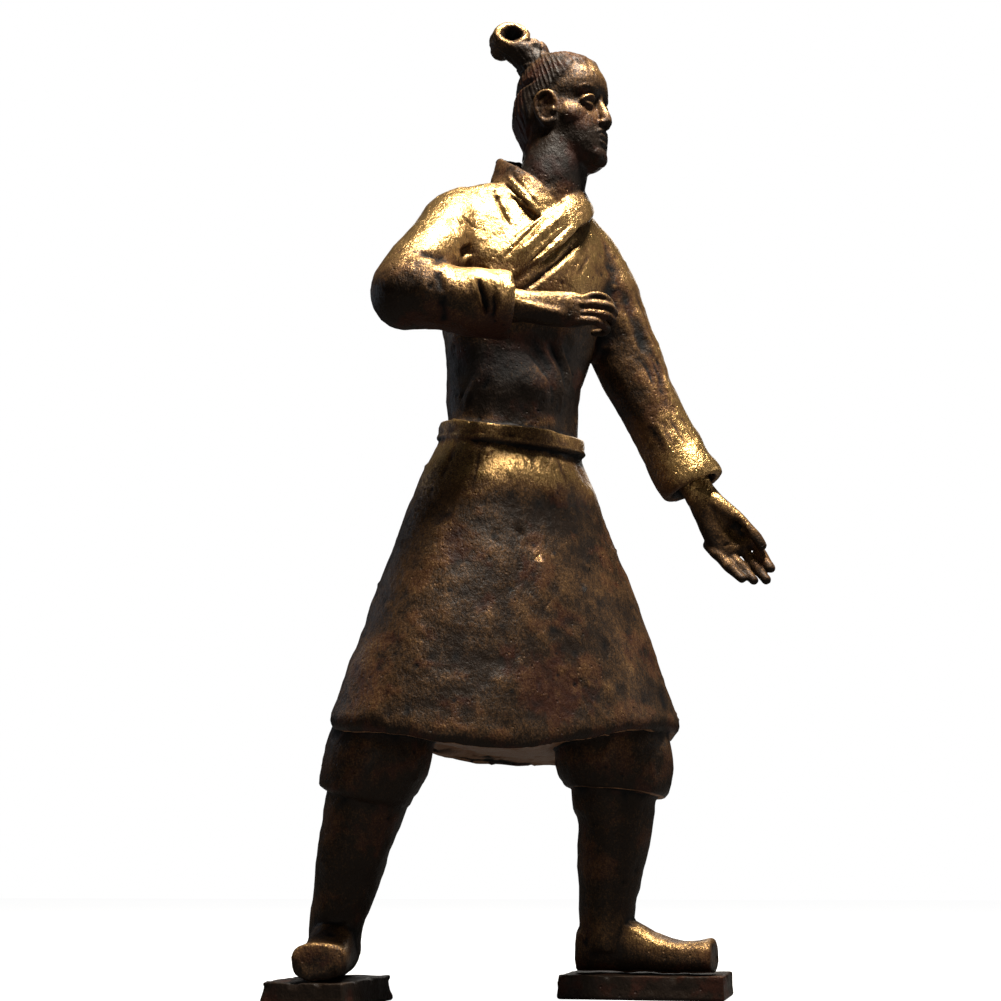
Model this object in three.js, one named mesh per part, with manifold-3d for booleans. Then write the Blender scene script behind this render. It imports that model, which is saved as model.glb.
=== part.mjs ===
// Standing archer from the terracotta army: a one-sixth size casting on two low foot plinths.
// Millimetres, +Z up. The figure is laid out facing the -Y side and then turned a little on its plinths.
import * as THREE from "three";
import { LoftGeometry } from "three/addons/geometries/LoftGeometry.js";
import { RoundedBoxGeometry } from "three/addons/geometries/RoundedBoxGeometry.js";
import { mergeVertices } from "three/addons/utils/BufferGeometryUtils.js";
import Module from "manifold-3d";

const wasm = await Module();
wasm.setup();

// Driving dimensions
const PLINTH_HEIGHT = 7;
const PLINTH_EDGE_RADIUS = 0.9;
const SEAT_GAP = 0.3;
const SOLE = PLINTH_HEIGHT + SEAT_GAP;
const LEFT_PLINTH = { length: 48, width: 28.4, x: 38.9, y: 20.4, turn: 0 };
const RIGHT_PLINTH = { length: 40, width: 23.8, x: -42.3, y: -26.6, turn: -2.5 };
const STANCE_TURN = 13.5;
const BODY_TURN = 32;
const HEAD_TURN = 60;
const HEM_HEIGHT = 72.2;
const HEM_DIP = 4.2;
const HEM_RECESS = 2.5;
const BELT_TOP = 171;
const BELT_HEIGHT = 6.8;
const BELT_DIP = 7;
const HEAD_BASE = [21, -2.4, 253.6];
const HEAD_HEIGHT = 44.6;
const SHOE_WIDTH = 14.6;
const FINGER_RADIUS = 1.35;

const BODY_SIDES = 28;
const ARM_SIDES = 12;
const LEG_SIDES = 14;
const HEAD_SIDES = 18;
const FINGER_SIDES = 6;

const UP = new THREE.Vector3(0, 0, 1);
const toVector = ([x, y, z]) => new THREE.Vector3(x, y, z);
const heading = (degrees) => {
  const angle = THREE.MathUtils.degToRad(degrees);
  return new THREE.Vector3(Math.cos(angle), Math.sin(angle), 0);
};
const bell = (distance, reach) => Math.exp(-((distance / reach) ** 2));
// How far one direction is from another round a section, in radians from -pi to pi.
const turnBetween = (a, b) => Math.atan2(Math.sin(a - b), Math.cos(a - b));

// A closed section round a middle point; squareness 2 is an ellipse and larger is boxier.
function section({ middle, side, back, wide, deep, square = 2 }, sides, shape) {
  const points = [];
  for (let i = 0; i < sides; i++) {
    const angle = (i / sides) * 2 * Math.PI;
    const c = Math.cos(angle);
    const s = Math.sin(angle);
    const across = Math.sign(c) * Math.abs(c) ** (2 / square) * wide;
    const along = Math.sign(s) * Math.abs(s) ** (2 / square) * deep;
    const point = middle.clone().addScaledVector(side, across).addScaledVector(back, along);
    points.push(shape ? shape(point, angle) : point);
  }
  return points;
}

function solid(geometry) {
  const positions = new THREE.BufferGeometry();
  positions.setAttribute("position", geometry.getAttribute("position"));
  positions.setIndex(geometry.index);
  const merged = mergeVertices(positions, 1e-4);
  return new wasm.Manifold(
    new wasm.Mesh({
      numProp: 3,
      vertProperties: merged.attributes.position.array,
      triVerts: new Uint32Array(merged.index.array),
    }),
  );
}

const loft = (sections) => solid(new LoftGeometry(sections, { closed: true, capStart: true, capEnd: true }));

// Upright form: level sections from the bottom up, each turned to face the same way.
function upright(levels, turn, sides, shape) {
  const side = heading(turn);
  const back = heading(turn + 90);
  return loft(
    levels.map(([z, x, y, wide, deep, square]) =>
      section({ middle: new THREE.Vector3(x, y, z), side, back, wide, deep, square }, sides, shape),
    ),
  );
}

// Limb form: sections square to a path. Each station is [x, y, z, wide, deep], wide measured along facing.
function limb(stations, facing, sides, { roundStart = false, roundEnd = false, square } = {}) {
  const path = stations.map(([x, y, z]) => new THREE.Vector3(x, y, z));
  const rings = path.map((point, i) => {
    const ahead = path[Math.min(i + 1, path.length - 1)];
    const behind = path[Math.max(i - 1, 0)];
    const along = ahead.clone().sub(behind).normalize();
    const side = facing.clone().addScaledVector(along, -facing.dot(along)).normalize();
    const back = along.clone().cross(side);
    return { middle: point, along, side, back, wide: stations[i][3], deep: stations[i][4], square };
  });
  const domed = (ring, direction) =>
    [0.8].map((rise) => {
      const shrink = Math.sqrt(1 - rise * rise);
      const reach = Math.min(ring.wide, ring.deep) * rise * direction;
      return {
        ...ring,
        middle: ring.middle.clone().addScaledVector(ring.along, reach),
        wide: ring.wide * shrink,
        deep: ring.deep * shrink,
      };
    });
  const first = roundStart ? domed(rings[0], -1).reverse() : [];
  const last = roundEnd ? domed(rings[rings.length - 1], 1) : [];
  return loft([...first, ...rings, ...last].map((ring) => section(ring, sides)));
}

// Band of cloth lying on the body: each station is [x, y, z, half width], with the way its face looks out.
function band(stations, faces, thickness, sides) {
  const path = stations.map(([x, y, z]) => new THREE.Vector3(x, y, z));
  const rings = path.map((point, i) => {
    const ahead = path[Math.min(i + 1, path.length - 1)];
    const behind = path[Math.max(i - 1, 0)];
    const along = ahead.clone().sub(behind).normalize();
    const face = toVector(faces[i]);
    const back = face.addScaledVector(along, -face.dot(along)).normalize();
    const side = back.clone().cross(along);
    return { middle: point, side, back, wide: stations[i][3], deep: thickness, square: 2.6 };
  });
  return loft(rings.map((ring) => section(ring, sides)));
}

// Robe: skirt, belt, chest and collar
const bodySide = heading(BODY_TURN);
const bodyFront = heading(BODY_TURN - 90);
const frontAngle = -Math.PI / 2;
const hemLevel = (point) => {
  const level = Math.atan2(point.y, point.x);
  return HEM_HEIGHT - HEM_DIP * Math.cos(2 * (level + Math.PI / 2)) + 0.4 * Math.sin(5 * level);
};

function skirt() {
  const levels = [
    [HEM_HEIGHT, 3.3, 0, 55.2, 33.5, 2.1],
    [HEM_HEIGHT + 1.8, 3.3, 0, 56.2, 34.2, 2.1],
    [HEM_HEIGHT + 6, 3.2, 0, 55, 33.6, 2.1],
    [92, 3.2, 0, 51, 31.6, 2.1],
    [106, 3.1, 0, 46.2, 29.4, 2.06],
    [120, 2.8, 0, 41.1, 26.8, 2.04],
    [134, 2.4, 0, 35.6, 24, 2.02],
    [147, 2, 0, 30.4, 21.4, 2],
    [157, 2.4, 0, 26, 19.2, 2],
    [165, 3.2, 0, 22.6, 17, 2],
    [170, 3.7, 0, 21.2, 16, 2],
  ];
  return upright(levels, BODY_TURN, BODY_SIDES, (point, angle) => {
    const fall = Math.max(0, (128 - point.z) / 56);
    const fold = 1 + 0.012 * fall * Math.cos(6 * angle + 0.6) + 0.01 * fall * Math.sin(9 * angle);
    const shaped = new THREE.Vector3(point.x * fold, point.y * fold, point.z);
    const drop = THREE.MathUtils.smoothstep(120 - point.z, 0, 120 - HEM_HEIGHT);
    shaped.z += drop * (hemLevel(point) - HEM_HEIGHT);
    return shaped;
  });
}

function hemHollow() {
  const levels = [
    [HEM_HEIGHT - 12, 3.3, 0, 52.8, 31],
    [HEM_HEIGHT + HEM_RECESS, 3.3, 0, 52, 30.4],
  ];
  return upright(levels, BODY_TURN, BODY_SIDES, (point) => {
    const shaped = point.clone();
    shaped.z += hemLevel(point) - HEM_HEIGHT;
    return shaped;
  });
}

function belt() {
  const profile = [
    [0, -0.6],
    [0.06, 1.1],
    [0.42, 1.2],
    [0.5, 0.6],
    [0.58, 1.2],
    [0.94, 1.1],
    [1, -0.6],
  ];
  const levels = profile.map(([share, swell]) => [
    BELT_TOP - BELT_HEIGHT * (1 - share),
    3.4,
    0,
    21.7 + swell + 1.7 * (1 - share),
    17 + swell + 1.9 * (1 - share),
  ]);
  return upright(levels, BODY_TURN, BODY_SIDES, (point, angle) => {
    const nearFront = (1 + Math.cos(turnBetween(angle, frontAngle))) / 2;
    const shaped = point.clone().addScaledVector(bodyFront, 1.9 * nearFront ** 2);
    shaped.z -= BELT_DIP * nearFront ** 1.5;
    return shaped;
  });
}

function chest() {
  const levels = [
    [164, 3.8, 0, 21.4, 16.6],
    [178, 4.0, 0, 21.7, 17.0],
    [187, 4.8, 0, 22.8, 17.6],
    [195, 6, 0, 25, 18.2],
    [204, 6.8, -0.2, 27, 18.8],
    [215, 7.6, -0.6, 29.2, 19.6],
    [226, 8.2, -1, 30.4, 19.6],
    [234, 8.4, -1.3, 30.8, 18.4],
    [240, 8.2, -1.6, 28.4, 15],
    [244, 9, -2, 21.4, 11.4],
    [247, 12, -2.4, 12, 8.6],
  ];
  return upright(levels, BODY_TURN, BODY_SIDES, (point, angle) => {
    const offFront = turnBetween(angle, frontAngle - 0.1);
    const hollow = -2.6 * bell(point.z - 191, 6.5) * bell(offFront, 0.62);
    const belly = 1.6 * bell(point.z - 177, 5) * bell(offFront, 0.55);
    const spine = -1.0 * bell(point.z - 205, 24) * bell(turnBetween(angle, Math.PI / 2), 0.22);
    const outward = new THREE.Vector3(point.x - 6, point.y, 0).normalize();
    return point.clone().addScaledVector(outward, hollow + belly + spine);
  });
}

function collar() {
  const over = band(
    [
      [4, 7.4, 258, 4.2],
      [13, 10, 258, 4.4],
      [21.4, 6.8, 253.4, 4.6],
      [26, 0.2, 247.4, 4.8],
      [26, -8, 241, 5],
      [21.6, -14.8, 234, 5.2],
      [14.4, -19.4, 226.6, 5.4],
      [6, -22, 218.6, 5.2],
      [-2, -22.6, 211, 4.6],
    ],
    [
      [-0.5, 0.9, -0.2],
      [0.1, 1, -0.2],
      [0.7, 0.7, 0],
      [1, 0.1, 0.2],
      [0.9, -0.6, 0.5],
      [0.7, -0.9, 0.5],
      [0.5, -1, 0.4],
      [0.3, -1, 0.3],
      [0.1, -1, 0.1],
    ],
    1.7,
    10,
  );
  const under = band(
    [
      [9, 9.4, 258, 4.4],
      [1.4, 5, 257.2, 4.6],
      [-1, -3.4, 253.6, 4.8],
      [2.6, -12, 247.6, 4.8],
      [9.6, -17.4, 240.4, 4.8],
      [17.6, -19.4, 232.6, 4.4],
    ],
    [
      [-0.3, 1, -0.2],
      [-0.9, 0.4, 0],
      [-1, -0.4, 0.3],
      [-0.6, -0.8, 0.5],
      [-0.1, -1, 0.5],
      [0.2, -1, 0.5],
    ],
    1.6,
    10,
  );
  return [over, under];
}

// Arms and hands
function rightArm() {
  const upperSleeve = limb(
    [
      [-8.6, -6, 237.6, 9.4, 9.2],
      [-12.6, -11.4, 233, 10.6, 10.6],
      [-17.6, -19.4, 223.2, 10.6, 10.6],
      [-22.8, -27, 212.6, 10.4, 10.6],
      [-27.4, -33, 202.4, 10.6, 10.8],
    ],
    new THREE.Vector3(1, -0.2, 0),
    ARM_SIDES,
    { roundStart: true, roundEnd: true },
  );
  const foreSleeve = limb(
    [
      [-27.6, -35.6, 200.4, 10.4, 10.2],
      [-20, -36.4, 199.4, 10.2, 10],
      [-13.4, -36, 198.4, 9.6, 9.2],
      [-9.8, -35.4, 198, 10.4, 9.8],
      [-7.4, -35, 197.8, 9.4, 9],
      [-4.6, -34.4, 197.7, 10.4, 9.8],
      [-2.2, -34, 197.6, 9.4, 9],
      [0.4, -33.6, 197.5, 10.4, 9.6],
      [2.6, -33.2, 197.5, 10, 9.2],
    ],
    UP,
    ARM_SIDES,
    { roundStart: true },
  );
  const cuffHollow = limb(
    [
      [-0.2, -33.6, 197.3, 7.6, 6.8],
      [6, -32.6, 197.2, 9.2, 8.2],
    ],
    UP,
    ARM_SIDES,
  );
  return upperSleeve.add(foreSleeve).subtract(cuffHollow).add(rightHand());
}

function rightHand() {
  const palm = limb(
    [
      [-3, -34, 197.4, 5.4, 4.4],
      [3.4, -33, 197.5, 5.2, 4],
      [8, -32.2, 197.4, 4.9, 3.5],
      [13, -31.4, 197.2, 5.3, 3.2],
      [18, -30.6, 197.1, 5.6, 3],
      [22, -29.8, 197.2, 5.5, 2.8],
      [24.6, -29.2, 197.3, 4.8, 2.2],
    ],
    UP,
    12,
    { square: 2.5 },
  );
  const fingers = [201.2, 198.6, 196, 193.6].map((z, i) => {
    const reach = [0, 0.8, 0.6, -1][i];
    const lift = (z - 197.3) * 0.12;
    return limb(
      [
        [21, -30.2, z - lift, FINGER_RADIUS, FINGER_RADIUS],
        [25.6, -29.8, z, FINGER_RADIUS, FINGER_RADIUS],
        [30.2 + reach, -28.8, z + lift, FINGER_RADIUS, FINGER_RADIUS],
        [32.8 + reach, -26.2, z + lift, FINGER_RADIUS, FINGER_RADIUS],
        [31.6 + reach, -23.4, z, 1.2, 1.2],
        [28.6 + reach, -22.4, z - lift, 1.1, 1.1],
      ],
      UP,
      FINGER_SIDES,
      { roundEnd: true },
    );
  });
  const thumb = limb(
    [
      [8, -29.6, 199.4, 2.4, 2.2],
      [14, -27.6, 200.4, 2.1, 2],
      [19.6, -26, 200.6, 1.7, 1.6],
      [24.4, -25, 200, 1.5, 1.4],
    ],
    UP,
    FINGER_SIDES,
    { roundStart: true, roundEnd: true },
  );
  return [...fingers, thumb].reduce((whole, piece) => whole.add(piece), palm);
}

function leftArm() {
  const sleeve = limb(
    [
      [23.4, 7.6, 235.4, 9, 9],
      [28.6, 11.4, 230, 10.4, 10.2],
      [33, 13.4, 220, 11.4, 11],
      [36.6, 14.2, 209, 11.2, 10.8],
      [41, 14.2, 196.6, 10.8, 10.4],
      [46.4, 13.6, 183.6, 10.3, 9.8],
      [52.2, 12.4, 171, 9.8, 9.2],
      [57, 11.2, 160.6, 10.1, 9.4],
      [60, 10.4, 155.2, 10.2, 9.4],
      [60.9, 10.2, 153.4, 9.4, 8.8],
    ],
    new THREE.Vector3(1, 0, 0.5),
    ARM_SIDES,
    { roundStart: true },
  );
  const cuffHollow = limb(
    [
      [59.2, 10.7, 156.6, 6.8, 6.2],
      [62.6, 9.8, 150, 8.4, 7.8],
    ],
    new THREE.Vector3(1, 0, 0.5),
    ARM_SIDES,
  );
  return sleeve.subtract(cuffHollow).add(leftHand());
}

function leftHand() {
  const across = new THREE.Vector3(0.87, 0, 0.49);
  const palm = limb(
    [
      [58.6, 10.8, 158, 4, 3.4],
      [62.2, 10.2, 151.6, 4, 3],
      [64.8, 9.8, 147, 5, 2.9],
      [67.4, 9.6, 142.8, 6.2, 2.7],
      [69.6, 9.6, 138.6, 6.9, 2.5],
      [71.8, 9.4, 134.6, 6.8, 2.2],
      [72.8, 9, 132.4, 6, 1.8],
    ],
    across,
    12,
    { square: 2.5 },
  );
  const knuckles = [
    [67, 9.2, 131.4],
    [70.2, 9.6, 132.4],
    [74, 9.6, 134],
    [77.4, 9, 135.8],
  ];
  const tips = [
    [73.6, 4.4, 122.4],
    [77.2, 4.2, 121.8],
    [80.8, 4.4, 122.4],
    [83.2, 4.6, 125.4],
  ];
  const fingers = knuckles.map((knuckle, i) => {
    const [kx, ky, kz] = knuckle;
    const [tx, ty, tz] = tips[i];
    const at = (share, sag) => [
      THREE.MathUtils.lerp(kx, tx, share),
      THREE.MathUtils.lerp(ky, ty, share) + sag,
      THREE.MathUtils.lerp(kz, tz, share),
      FINGER_RADIUS * 1.2 - 0.3 * share,
      FINGER_RADIUS * 1.1 - 0.25 * share,
    ];
    return limb([at(-0.2, -0.4), at(0.15, 0.5), at(0.5, 1.1), at(0.78, 0.7), at(1, 0)], across, FINGER_SIDES, {
      roundEnd: true,
    });
  });
  const thumb = limb(
    [
      [66.6, 8.4, 146.4, 2.4, 2.2],
      [71, 7.2, 143.6, 2.3, 2],
      [75, 6, 139.6, 1.8, 1.6],
      [78.4, 5, 136, 1.6, 1.4],
      [80.2, 4.4, 133.4, 1.4, 1.2],
    ],
    across,
    FINGER_SIDES,
    { roundStart: true, roundEnd: true },
  );
  return [...fingers, thumb].reduce((whole, piece) => whole.add(piece), palm);
}

// Head: laid out looking along its own front, then turned to look past the left shoulder
const headFront = heading(HEAD_TURN - 90);
const headLeft = heading(HEAD_TURN);
const onHead = (front, left, rise) =>
  toVector(HEAD_BASE).addScaledVector(headFront, front).addScaledVector(headLeft, left).addScaledVector(UP, rise);

// Level sections of the head: [rise, front, back, half width, squareness of the front half].
function headForm(levels) {
  return loft(
    levels.map(([rise, front, back, wide, square = 2]) => {
      const widest = (front + back) / 2 - 1;
      const points = [];
      for (let i = 0; i < HEAD_SIDES; i++) {
        const angle = (i / HEAD_SIDES) * 2 * Math.PI;
        const c = Math.cos(angle);
        const s = Math.sin(angle);
        const power = s > 0 ? 1 : 2 / square;
        const across = Math.sign(c) * Math.abs(c) ** power * wide;
        const half = s > 0 ? back - widest : front - widest;
        points.push(onHead(widest + Math.abs(s) ** power * half, across, rise));
      }
      return points;
    }),
  );
}

// Small rounded form on the head: stations are [front, left, rise, wide, deep].
function feature(stations, facing = headLeft, sides = 6) {
  const placed = stations.map(([front, left, rise, wide, deep]) => [
    ...onHead(front, left, rise).toArray(),
    wide,
    deep,
  ]);
  return limb(placed, facing, sides, { roundStart: true, roundEnd: true });
}

function head() {
  const skull = headForm([
    [0, 12.2, 1.5, 4.6, 2.2],
    [1.4, 13.8, -2.5, 7.2, 2.2],
    [4, 14.4, -7, 9.6, 2.2],
    [8.5, 14.2, -11.6, 11.3, 2.3],
    [14, 14, -14.4, 12.3, 2.3],
    [19, 13.6, -16, 12.7, 2.3],
    [22.6, 13.2, -16.6, 12.9, 2.3],
    [25.4, 14.4, -16.9, 13, 2.3],
    [29, 15, -17, 13, 2.2],
    [33, 14.5, -16.6, 12.7, 2.1],
    [37, 12.2, -15.2, 11.7, 2],
    [40.4, 9, -12.8, 9.9, 2],
    [43.4, 3, -7, 6, 2],
  ]);
  const hair = headForm([
    [5.5, -6, -11.5, 9],
    [9, -5.4, -15, 11.8],
    [15, -5, -17, 13],
    [22, -3.6, -17.2, 13.6],
    [29, 4, -16.8, 13.7],
    [33, 10.2, -16.2, 13.2],
    [36.4, 12.6, -15.4, 12.2],
    [40.2, 8.6, -12.8, 10.2],
    [HEAD_HEIGHT - 0.8, 2, -7, 5.4],
  ]);
  const nose = feature([
    [13, 0, 24.6, 1.2, 1.2],
    [14.4, 0, 20.6, 1.3, 1.4],
    [15.5, 0, 17.6, 1.7, 1.5],
    [15.2, 0, 16.2, 1.9, 1.2],
  ]);
  const chin = feature([
    [11.6, 0, 4.6, 3.4, 3.4],
    [12.4, 0, 3.6, 3.2, 3.2],
  ]);
  const sides = [-1, 1].flatMap((hand) => [
    feature([[13.6, hand * 1.6, 25.2, 0.9, 0.9], [13.7, hand * 4.2, 26, 0.9, 0.9], [11.8, hand * 7.2, 25, 0.7, 0.7]], UP),
    feature([[12.7, hand * 2.2, 22.2, 0.8, 0.8], [12.8, hand * 4, 22.3, 1.2, 1.1], [11.6, hand * 6.2, 22, 0.7, 0.7]], UP),
    feature([[13.8, hand * 0.9, 16.2, 1.1, 1], [13.8, hand * 1.9, 16.2, 0.9, 0.9]], UP),
    feature([[14.7, hand * 0.5, 13.6, 0.7, 0.7], [14.2, hand * 2.8, 13, 0.8, 0.8], [12.9, hand * 5, 11.6, 0.4, 0.4]], UP),
    feature([
      [-0.6, hand * 12, 9.8, 1.4, 0.9],
      [-0.8, hand * 12.8, 13.4, 2.4, 1.1],
      [-1.2, hand * 13.3, 17.8, 3.2, 1.2],
      [-1.6, hand * 13.4, 21, 3, 1.1],
      [-1.6, hand * 13.1, 22.8, 1.8, 0.8],
    ], headFront, 8),
  ]);
  const lips = [11.6, 9.9].map((rise, i) =>
    feature([[13.6, -2.8, rise - 0.2, 0.5, 0.5], [14.2, 0, rise, 0.9 + 0.1 * i, 0.9], [13.6, 2.8, rise - 0.2, 0.5, 0.5]], UP),
  );
  const neck = upright(
    [
      [242, 13.4, -2.8, 11, 10.4],
      [248, 15.2, -3, 10, 9.6],
      [254, 16.8, -3, 9.4, 9.2],
      [260, 17.6, -2.4, 9.2, 9],
      [266, 18, -1.6, 9, 9],
    ],
    HEAD_TURN,
    12,
  );
  return [skull, hair, nose, chin, neck, ...sides, ...lips, topknot()].reduce((whole, piece) => whole.add(piece));
}

function topknot() {
  const lean = new THREE.Vector3(0.3, -1, 0);
  const stem = limb(
    [
      [14.6, -1.4, 288.6, 7.4, 7],
      [11.4, -2.4, 292.2, 6, 5.8],
      [8, -3.4, 295.2, 4.8, 4.8],
      [3.6, -4.4, 298.6, 4.4, 4.6],
    ],
    lean,
    12,
  );
  const tie = limb(
    [
      [13.8, -3.6, 294.4, 2.4, 2.6],
      [12.2, -4.2, 296.4, 2.8, 2.9],
      [10.6, -4.6, 298, 2.4, 2.5],
    ],
    lean,
    8,
    { roundStart: true, roundEnd: true },
  );
  const loopFacing = new THREE.Vector3(0.86, 0.44, 0.26);
  const loop = limb(
    [
      [0.6, -0.4, 299.4, 4.2, 3.6],
      [1.8, -3, 300, 6, 4.6],
      [3, -6, 300.4, 6.3, 4.9],
      [3.8, -8.6, 300.7, 6, 4.6],
    ],
    loopFacing,
    14,
    { roundStart: true },
  );
  const mouth = limb(
    [
      [3.1, -6.4, 300.4, 2.6, 1.8],
      [4.2, -10, 300.8, 4.9, 3.6],
    ],
    loopFacing,
    10,
  );
  return stem.add(tie).add(loop).subtract(mouth);
}

// Legs: loose trousers to below the knee, wrapped shins and square-toed shoes
function leg({ trousers, shin, shoe }) {
  const facing = new THREE.Vector3(1, 0, 0);
  return limb(trousers, facing, LEG_SIDES)
    .add(limb(shin, facing, LEG_SIDES))
    .add(shoeForm(shoe));
}

function shoeForm({ heel, turn, length }) {
  const ahead = heading(turn);
  const side = heading(turn - 90);
  // share of the length, half width, height
  const profile = [
    [0, 0.62, 9.5],
    [0.03, 0.8, 13],
    [0.14, 0.9, 15.6],
    [0.3, 0.9, 16.4],
    [0.45, 0.88, 15.2],
    [0.58, 0.9, 12.4],
    [0.72, 0.96, 10],
    [0.86, 1, 9],
    [0.95, 1, 9.3],
    [1, 0.94, 8.8],
  ];
  const rings = profile.map(([share, width, height]) => {
    const middle = new THREE.Vector3(heel[0], heel[1], SOLE + height / 2).addScaledVector(ahead, share * length);
    return section({ middle, side, back: UP, wide: (width * SHOE_WIDTH) / 2, deep: height / 2, square: 2.8 }, 14);
  });
  return loft(rings.reverse());
}

const rightLeg = {
  trousers: [
    [-31, -8.6, 86, 15.2, 15.4],
    [-33.4, -9.4, 76, 15.6, 16],
    [-35.2, -10, 69, 15.5, 16],
    [-37, -10, 64, 14.8, 15.4],
    [-38.2, -9.8, 60, 14.2, 14.6],
    [-38.6, -9.6, 57.4, 13.6, 14],
    [-38.8, -9.5, 56.4, 12.7, 13],
  ],
  shin: [
    [-37.4, -9.6, 60, 12.3, 12.6],
    [-39.4, -9, 52.2, 11.3, 11.8],
    [-41.6, -8.2, 44, 10.2, 10.8],
    [-43.4, -7.2, 35.8, 9.4, 9.8],
    [-45.2, -6.4, 27.7, 8.4, 8.6],
    [-46.8, -6, 20, 7.7, 7.8],
    [-47.1, -5.8, 15, 7.2, 7.4],
  ],
  shoe: { heel: [-46.6, 3], turn: -92.6, length: 37.5 },
};
const leftLeg = {
  trousers: [
    [31.4, 8, 86, 16.4, 15.8],
    [33, 8.6, 77, 17.2, 16.6],
    [33.8, 9, 71, 17.6, 17],
    [34.4, 9.2, 66.6, 17.4, 16.6],
    [34.6, 9.4, 62.4, 16.6, 15.8],
    [34.4, 9.6, 59.6, 15.6, 15],
    [34.3, 9.6, 58.6, 14.6, 14],
  ],
  shin: [
    [34.4, 9.6, 62, 13.2, 13],
    [34, 9.8, 57, 12.9, 12.8],
    [34.3, 10, 52, 11.8, 12],
    [34, 10.2, 44.8, 10.8, 11],
    [32.8, 10.6, 36, 9.6, 9.8],
    [31.6, 11, 27.5, 8.5, 8.6],
    [31.3, 11, 20, 8.2, 8],
    [31.2, 11, 15, 7.6, 7.6],
  ],
  shoe: { heel: [22.8, 13.8], turn: -16, length: 40.5 },
};

// Assembly
function figure() {
  const pieces = [skirt().subtract(hemHollow()), belt(), chest(), ...collar(), rightArm(), leftArm(), head()];
  const body = pieces.reduce((whole, piece) => whole.add(piece));
  return body.add(leg(rightLeg)).add(leg(leftLeg));
}

function meshOf(manifold, name, material) {
  const { numProp, numVert, vertProperties, triVerts } = manifold.getMesh();
  const positions = new Float32Array(numVert * 3);
  for (let i = 0; i < numVert; i++) positions.set(vertProperties.subarray(i * numProp, i * numProp + 3), i * 3);
  const geometry = new THREE.BufferGeometry();
  geometry.setAttribute("position", new THREE.BufferAttribute(positions, 3));
  geometry.setIndex(new THREE.BufferAttribute(new Uint32Array(triVerts), 1));
  geometry.computeVertexNormals();
  const mesh = new THREE.Mesh(geometry, material);
  mesh.name = name;
  return mesh;
}

function plinth({ length, width, x, y, turn }, along, name, material) {
  const size = along === "x" ? [length, width] : [width, length];
  const geometry = new RoundedBoxGeometry(size[0], size[1], PLINTH_HEIGHT, 1, PLINTH_EDGE_RADIUS);
  geometry.rotateZ(THREE.MathUtils.degToRad(turn));
  geometry.translate(x, y, PLINTH_HEIGHT / 2);
  return meshOf(solid(geometry), name, material);
}

const bronzed = () => new THREE.MeshStandardMaterial({ color: 0x4a3420, roughness: 0.5, metalness: 0.35 });
const group = new THREE.Group();
const warrior = meshOf(figure(), "warrior_figure", bronzed());
warrior.geometry.rotateZ(THREE.MathUtils.degToRad(STANCE_TURN));
group.add(warrior);
group.add(plinth(LEFT_PLINTH, "x", "left_foot_plinth", bronzed()));
group.add(plinth(RIGHT_PLINTH, "y", "right_foot_plinth", bronzed()));

// The origin is put under the middle of the whole statue, on the floor.
const extent = new THREE.Box3().setFromObject(group);
const centre = extent.getCenter(new THREE.Vector3());
group.children.forEach((mesh) => mesh.geometry.translate(-centre.x, -centre.y, -extent.min.z));

export default group;
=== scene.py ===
import math
import bmesh
import bpy
import numpy as np
from mathutils import Matrix, Vector
from mathutils.bvhtree import BVHTree


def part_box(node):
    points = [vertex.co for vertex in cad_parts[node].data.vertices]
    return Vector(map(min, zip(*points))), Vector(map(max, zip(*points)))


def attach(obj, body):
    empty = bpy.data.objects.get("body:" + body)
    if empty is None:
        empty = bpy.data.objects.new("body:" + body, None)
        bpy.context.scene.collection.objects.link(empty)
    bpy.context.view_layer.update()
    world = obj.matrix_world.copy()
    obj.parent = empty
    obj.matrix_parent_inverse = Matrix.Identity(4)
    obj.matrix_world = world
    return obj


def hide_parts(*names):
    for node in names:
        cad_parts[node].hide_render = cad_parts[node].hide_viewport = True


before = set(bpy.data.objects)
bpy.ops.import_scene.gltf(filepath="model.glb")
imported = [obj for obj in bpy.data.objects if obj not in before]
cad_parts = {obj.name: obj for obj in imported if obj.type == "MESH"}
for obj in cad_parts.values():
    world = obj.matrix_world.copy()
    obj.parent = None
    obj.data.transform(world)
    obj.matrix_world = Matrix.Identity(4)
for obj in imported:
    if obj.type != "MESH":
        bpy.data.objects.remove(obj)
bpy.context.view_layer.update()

# The figure is worked in millimetres, facing -Y, then turned on its plinths and put where the CAD has it.
stance = {
    "turn": 13.5,               # degrees the figure is turned on its plinths
    "bodyTurn": 32,             # degrees the robe is turned from the figure's own front
    "headTurn": 60,             # degrees the head looks past the left shoulder
    "plinthMiddle": (38.9, 20.4),
    "headBase": (21.0, -2.4, 253.6),
    "voxel": 0.4,
    "triangles": 192000,
}



def placing(x, y, turn):
    # From millimetres on the bench to metres in the object
    return Matrix.Scale(0.001, 4) @ Matrix.Translation((x, y, 0)) @ Matrix.Rotation(math.radians(turn), 4, "Z")


def middleOf(node):
    low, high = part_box(node)
    return (low + high) * 500


def heading(degrees):
    angle = math.radians(degrees)
    return Vector((math.cos(angle), math.sin(angle), 0))


plinthSpot = middleOf("left_foot_plinth")
toObject = placing(plinthSpot.x - stance["plinthMiddle"][0], plinthSpot.y - stance["plinthMiddle"][1], stance["turn"])
bodyFront = heading(stance["bodyTurn"] - 90)
headLeft = heading(stance["headTurn"])
headFront = heading(stance["headTurn"] - 90)
upward = Vector((0, 0, 1))


def onHead(front, left, rise):
    return Vector(stance["headBase"]) + headFront * front + headLeft * left + upward * rise


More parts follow.
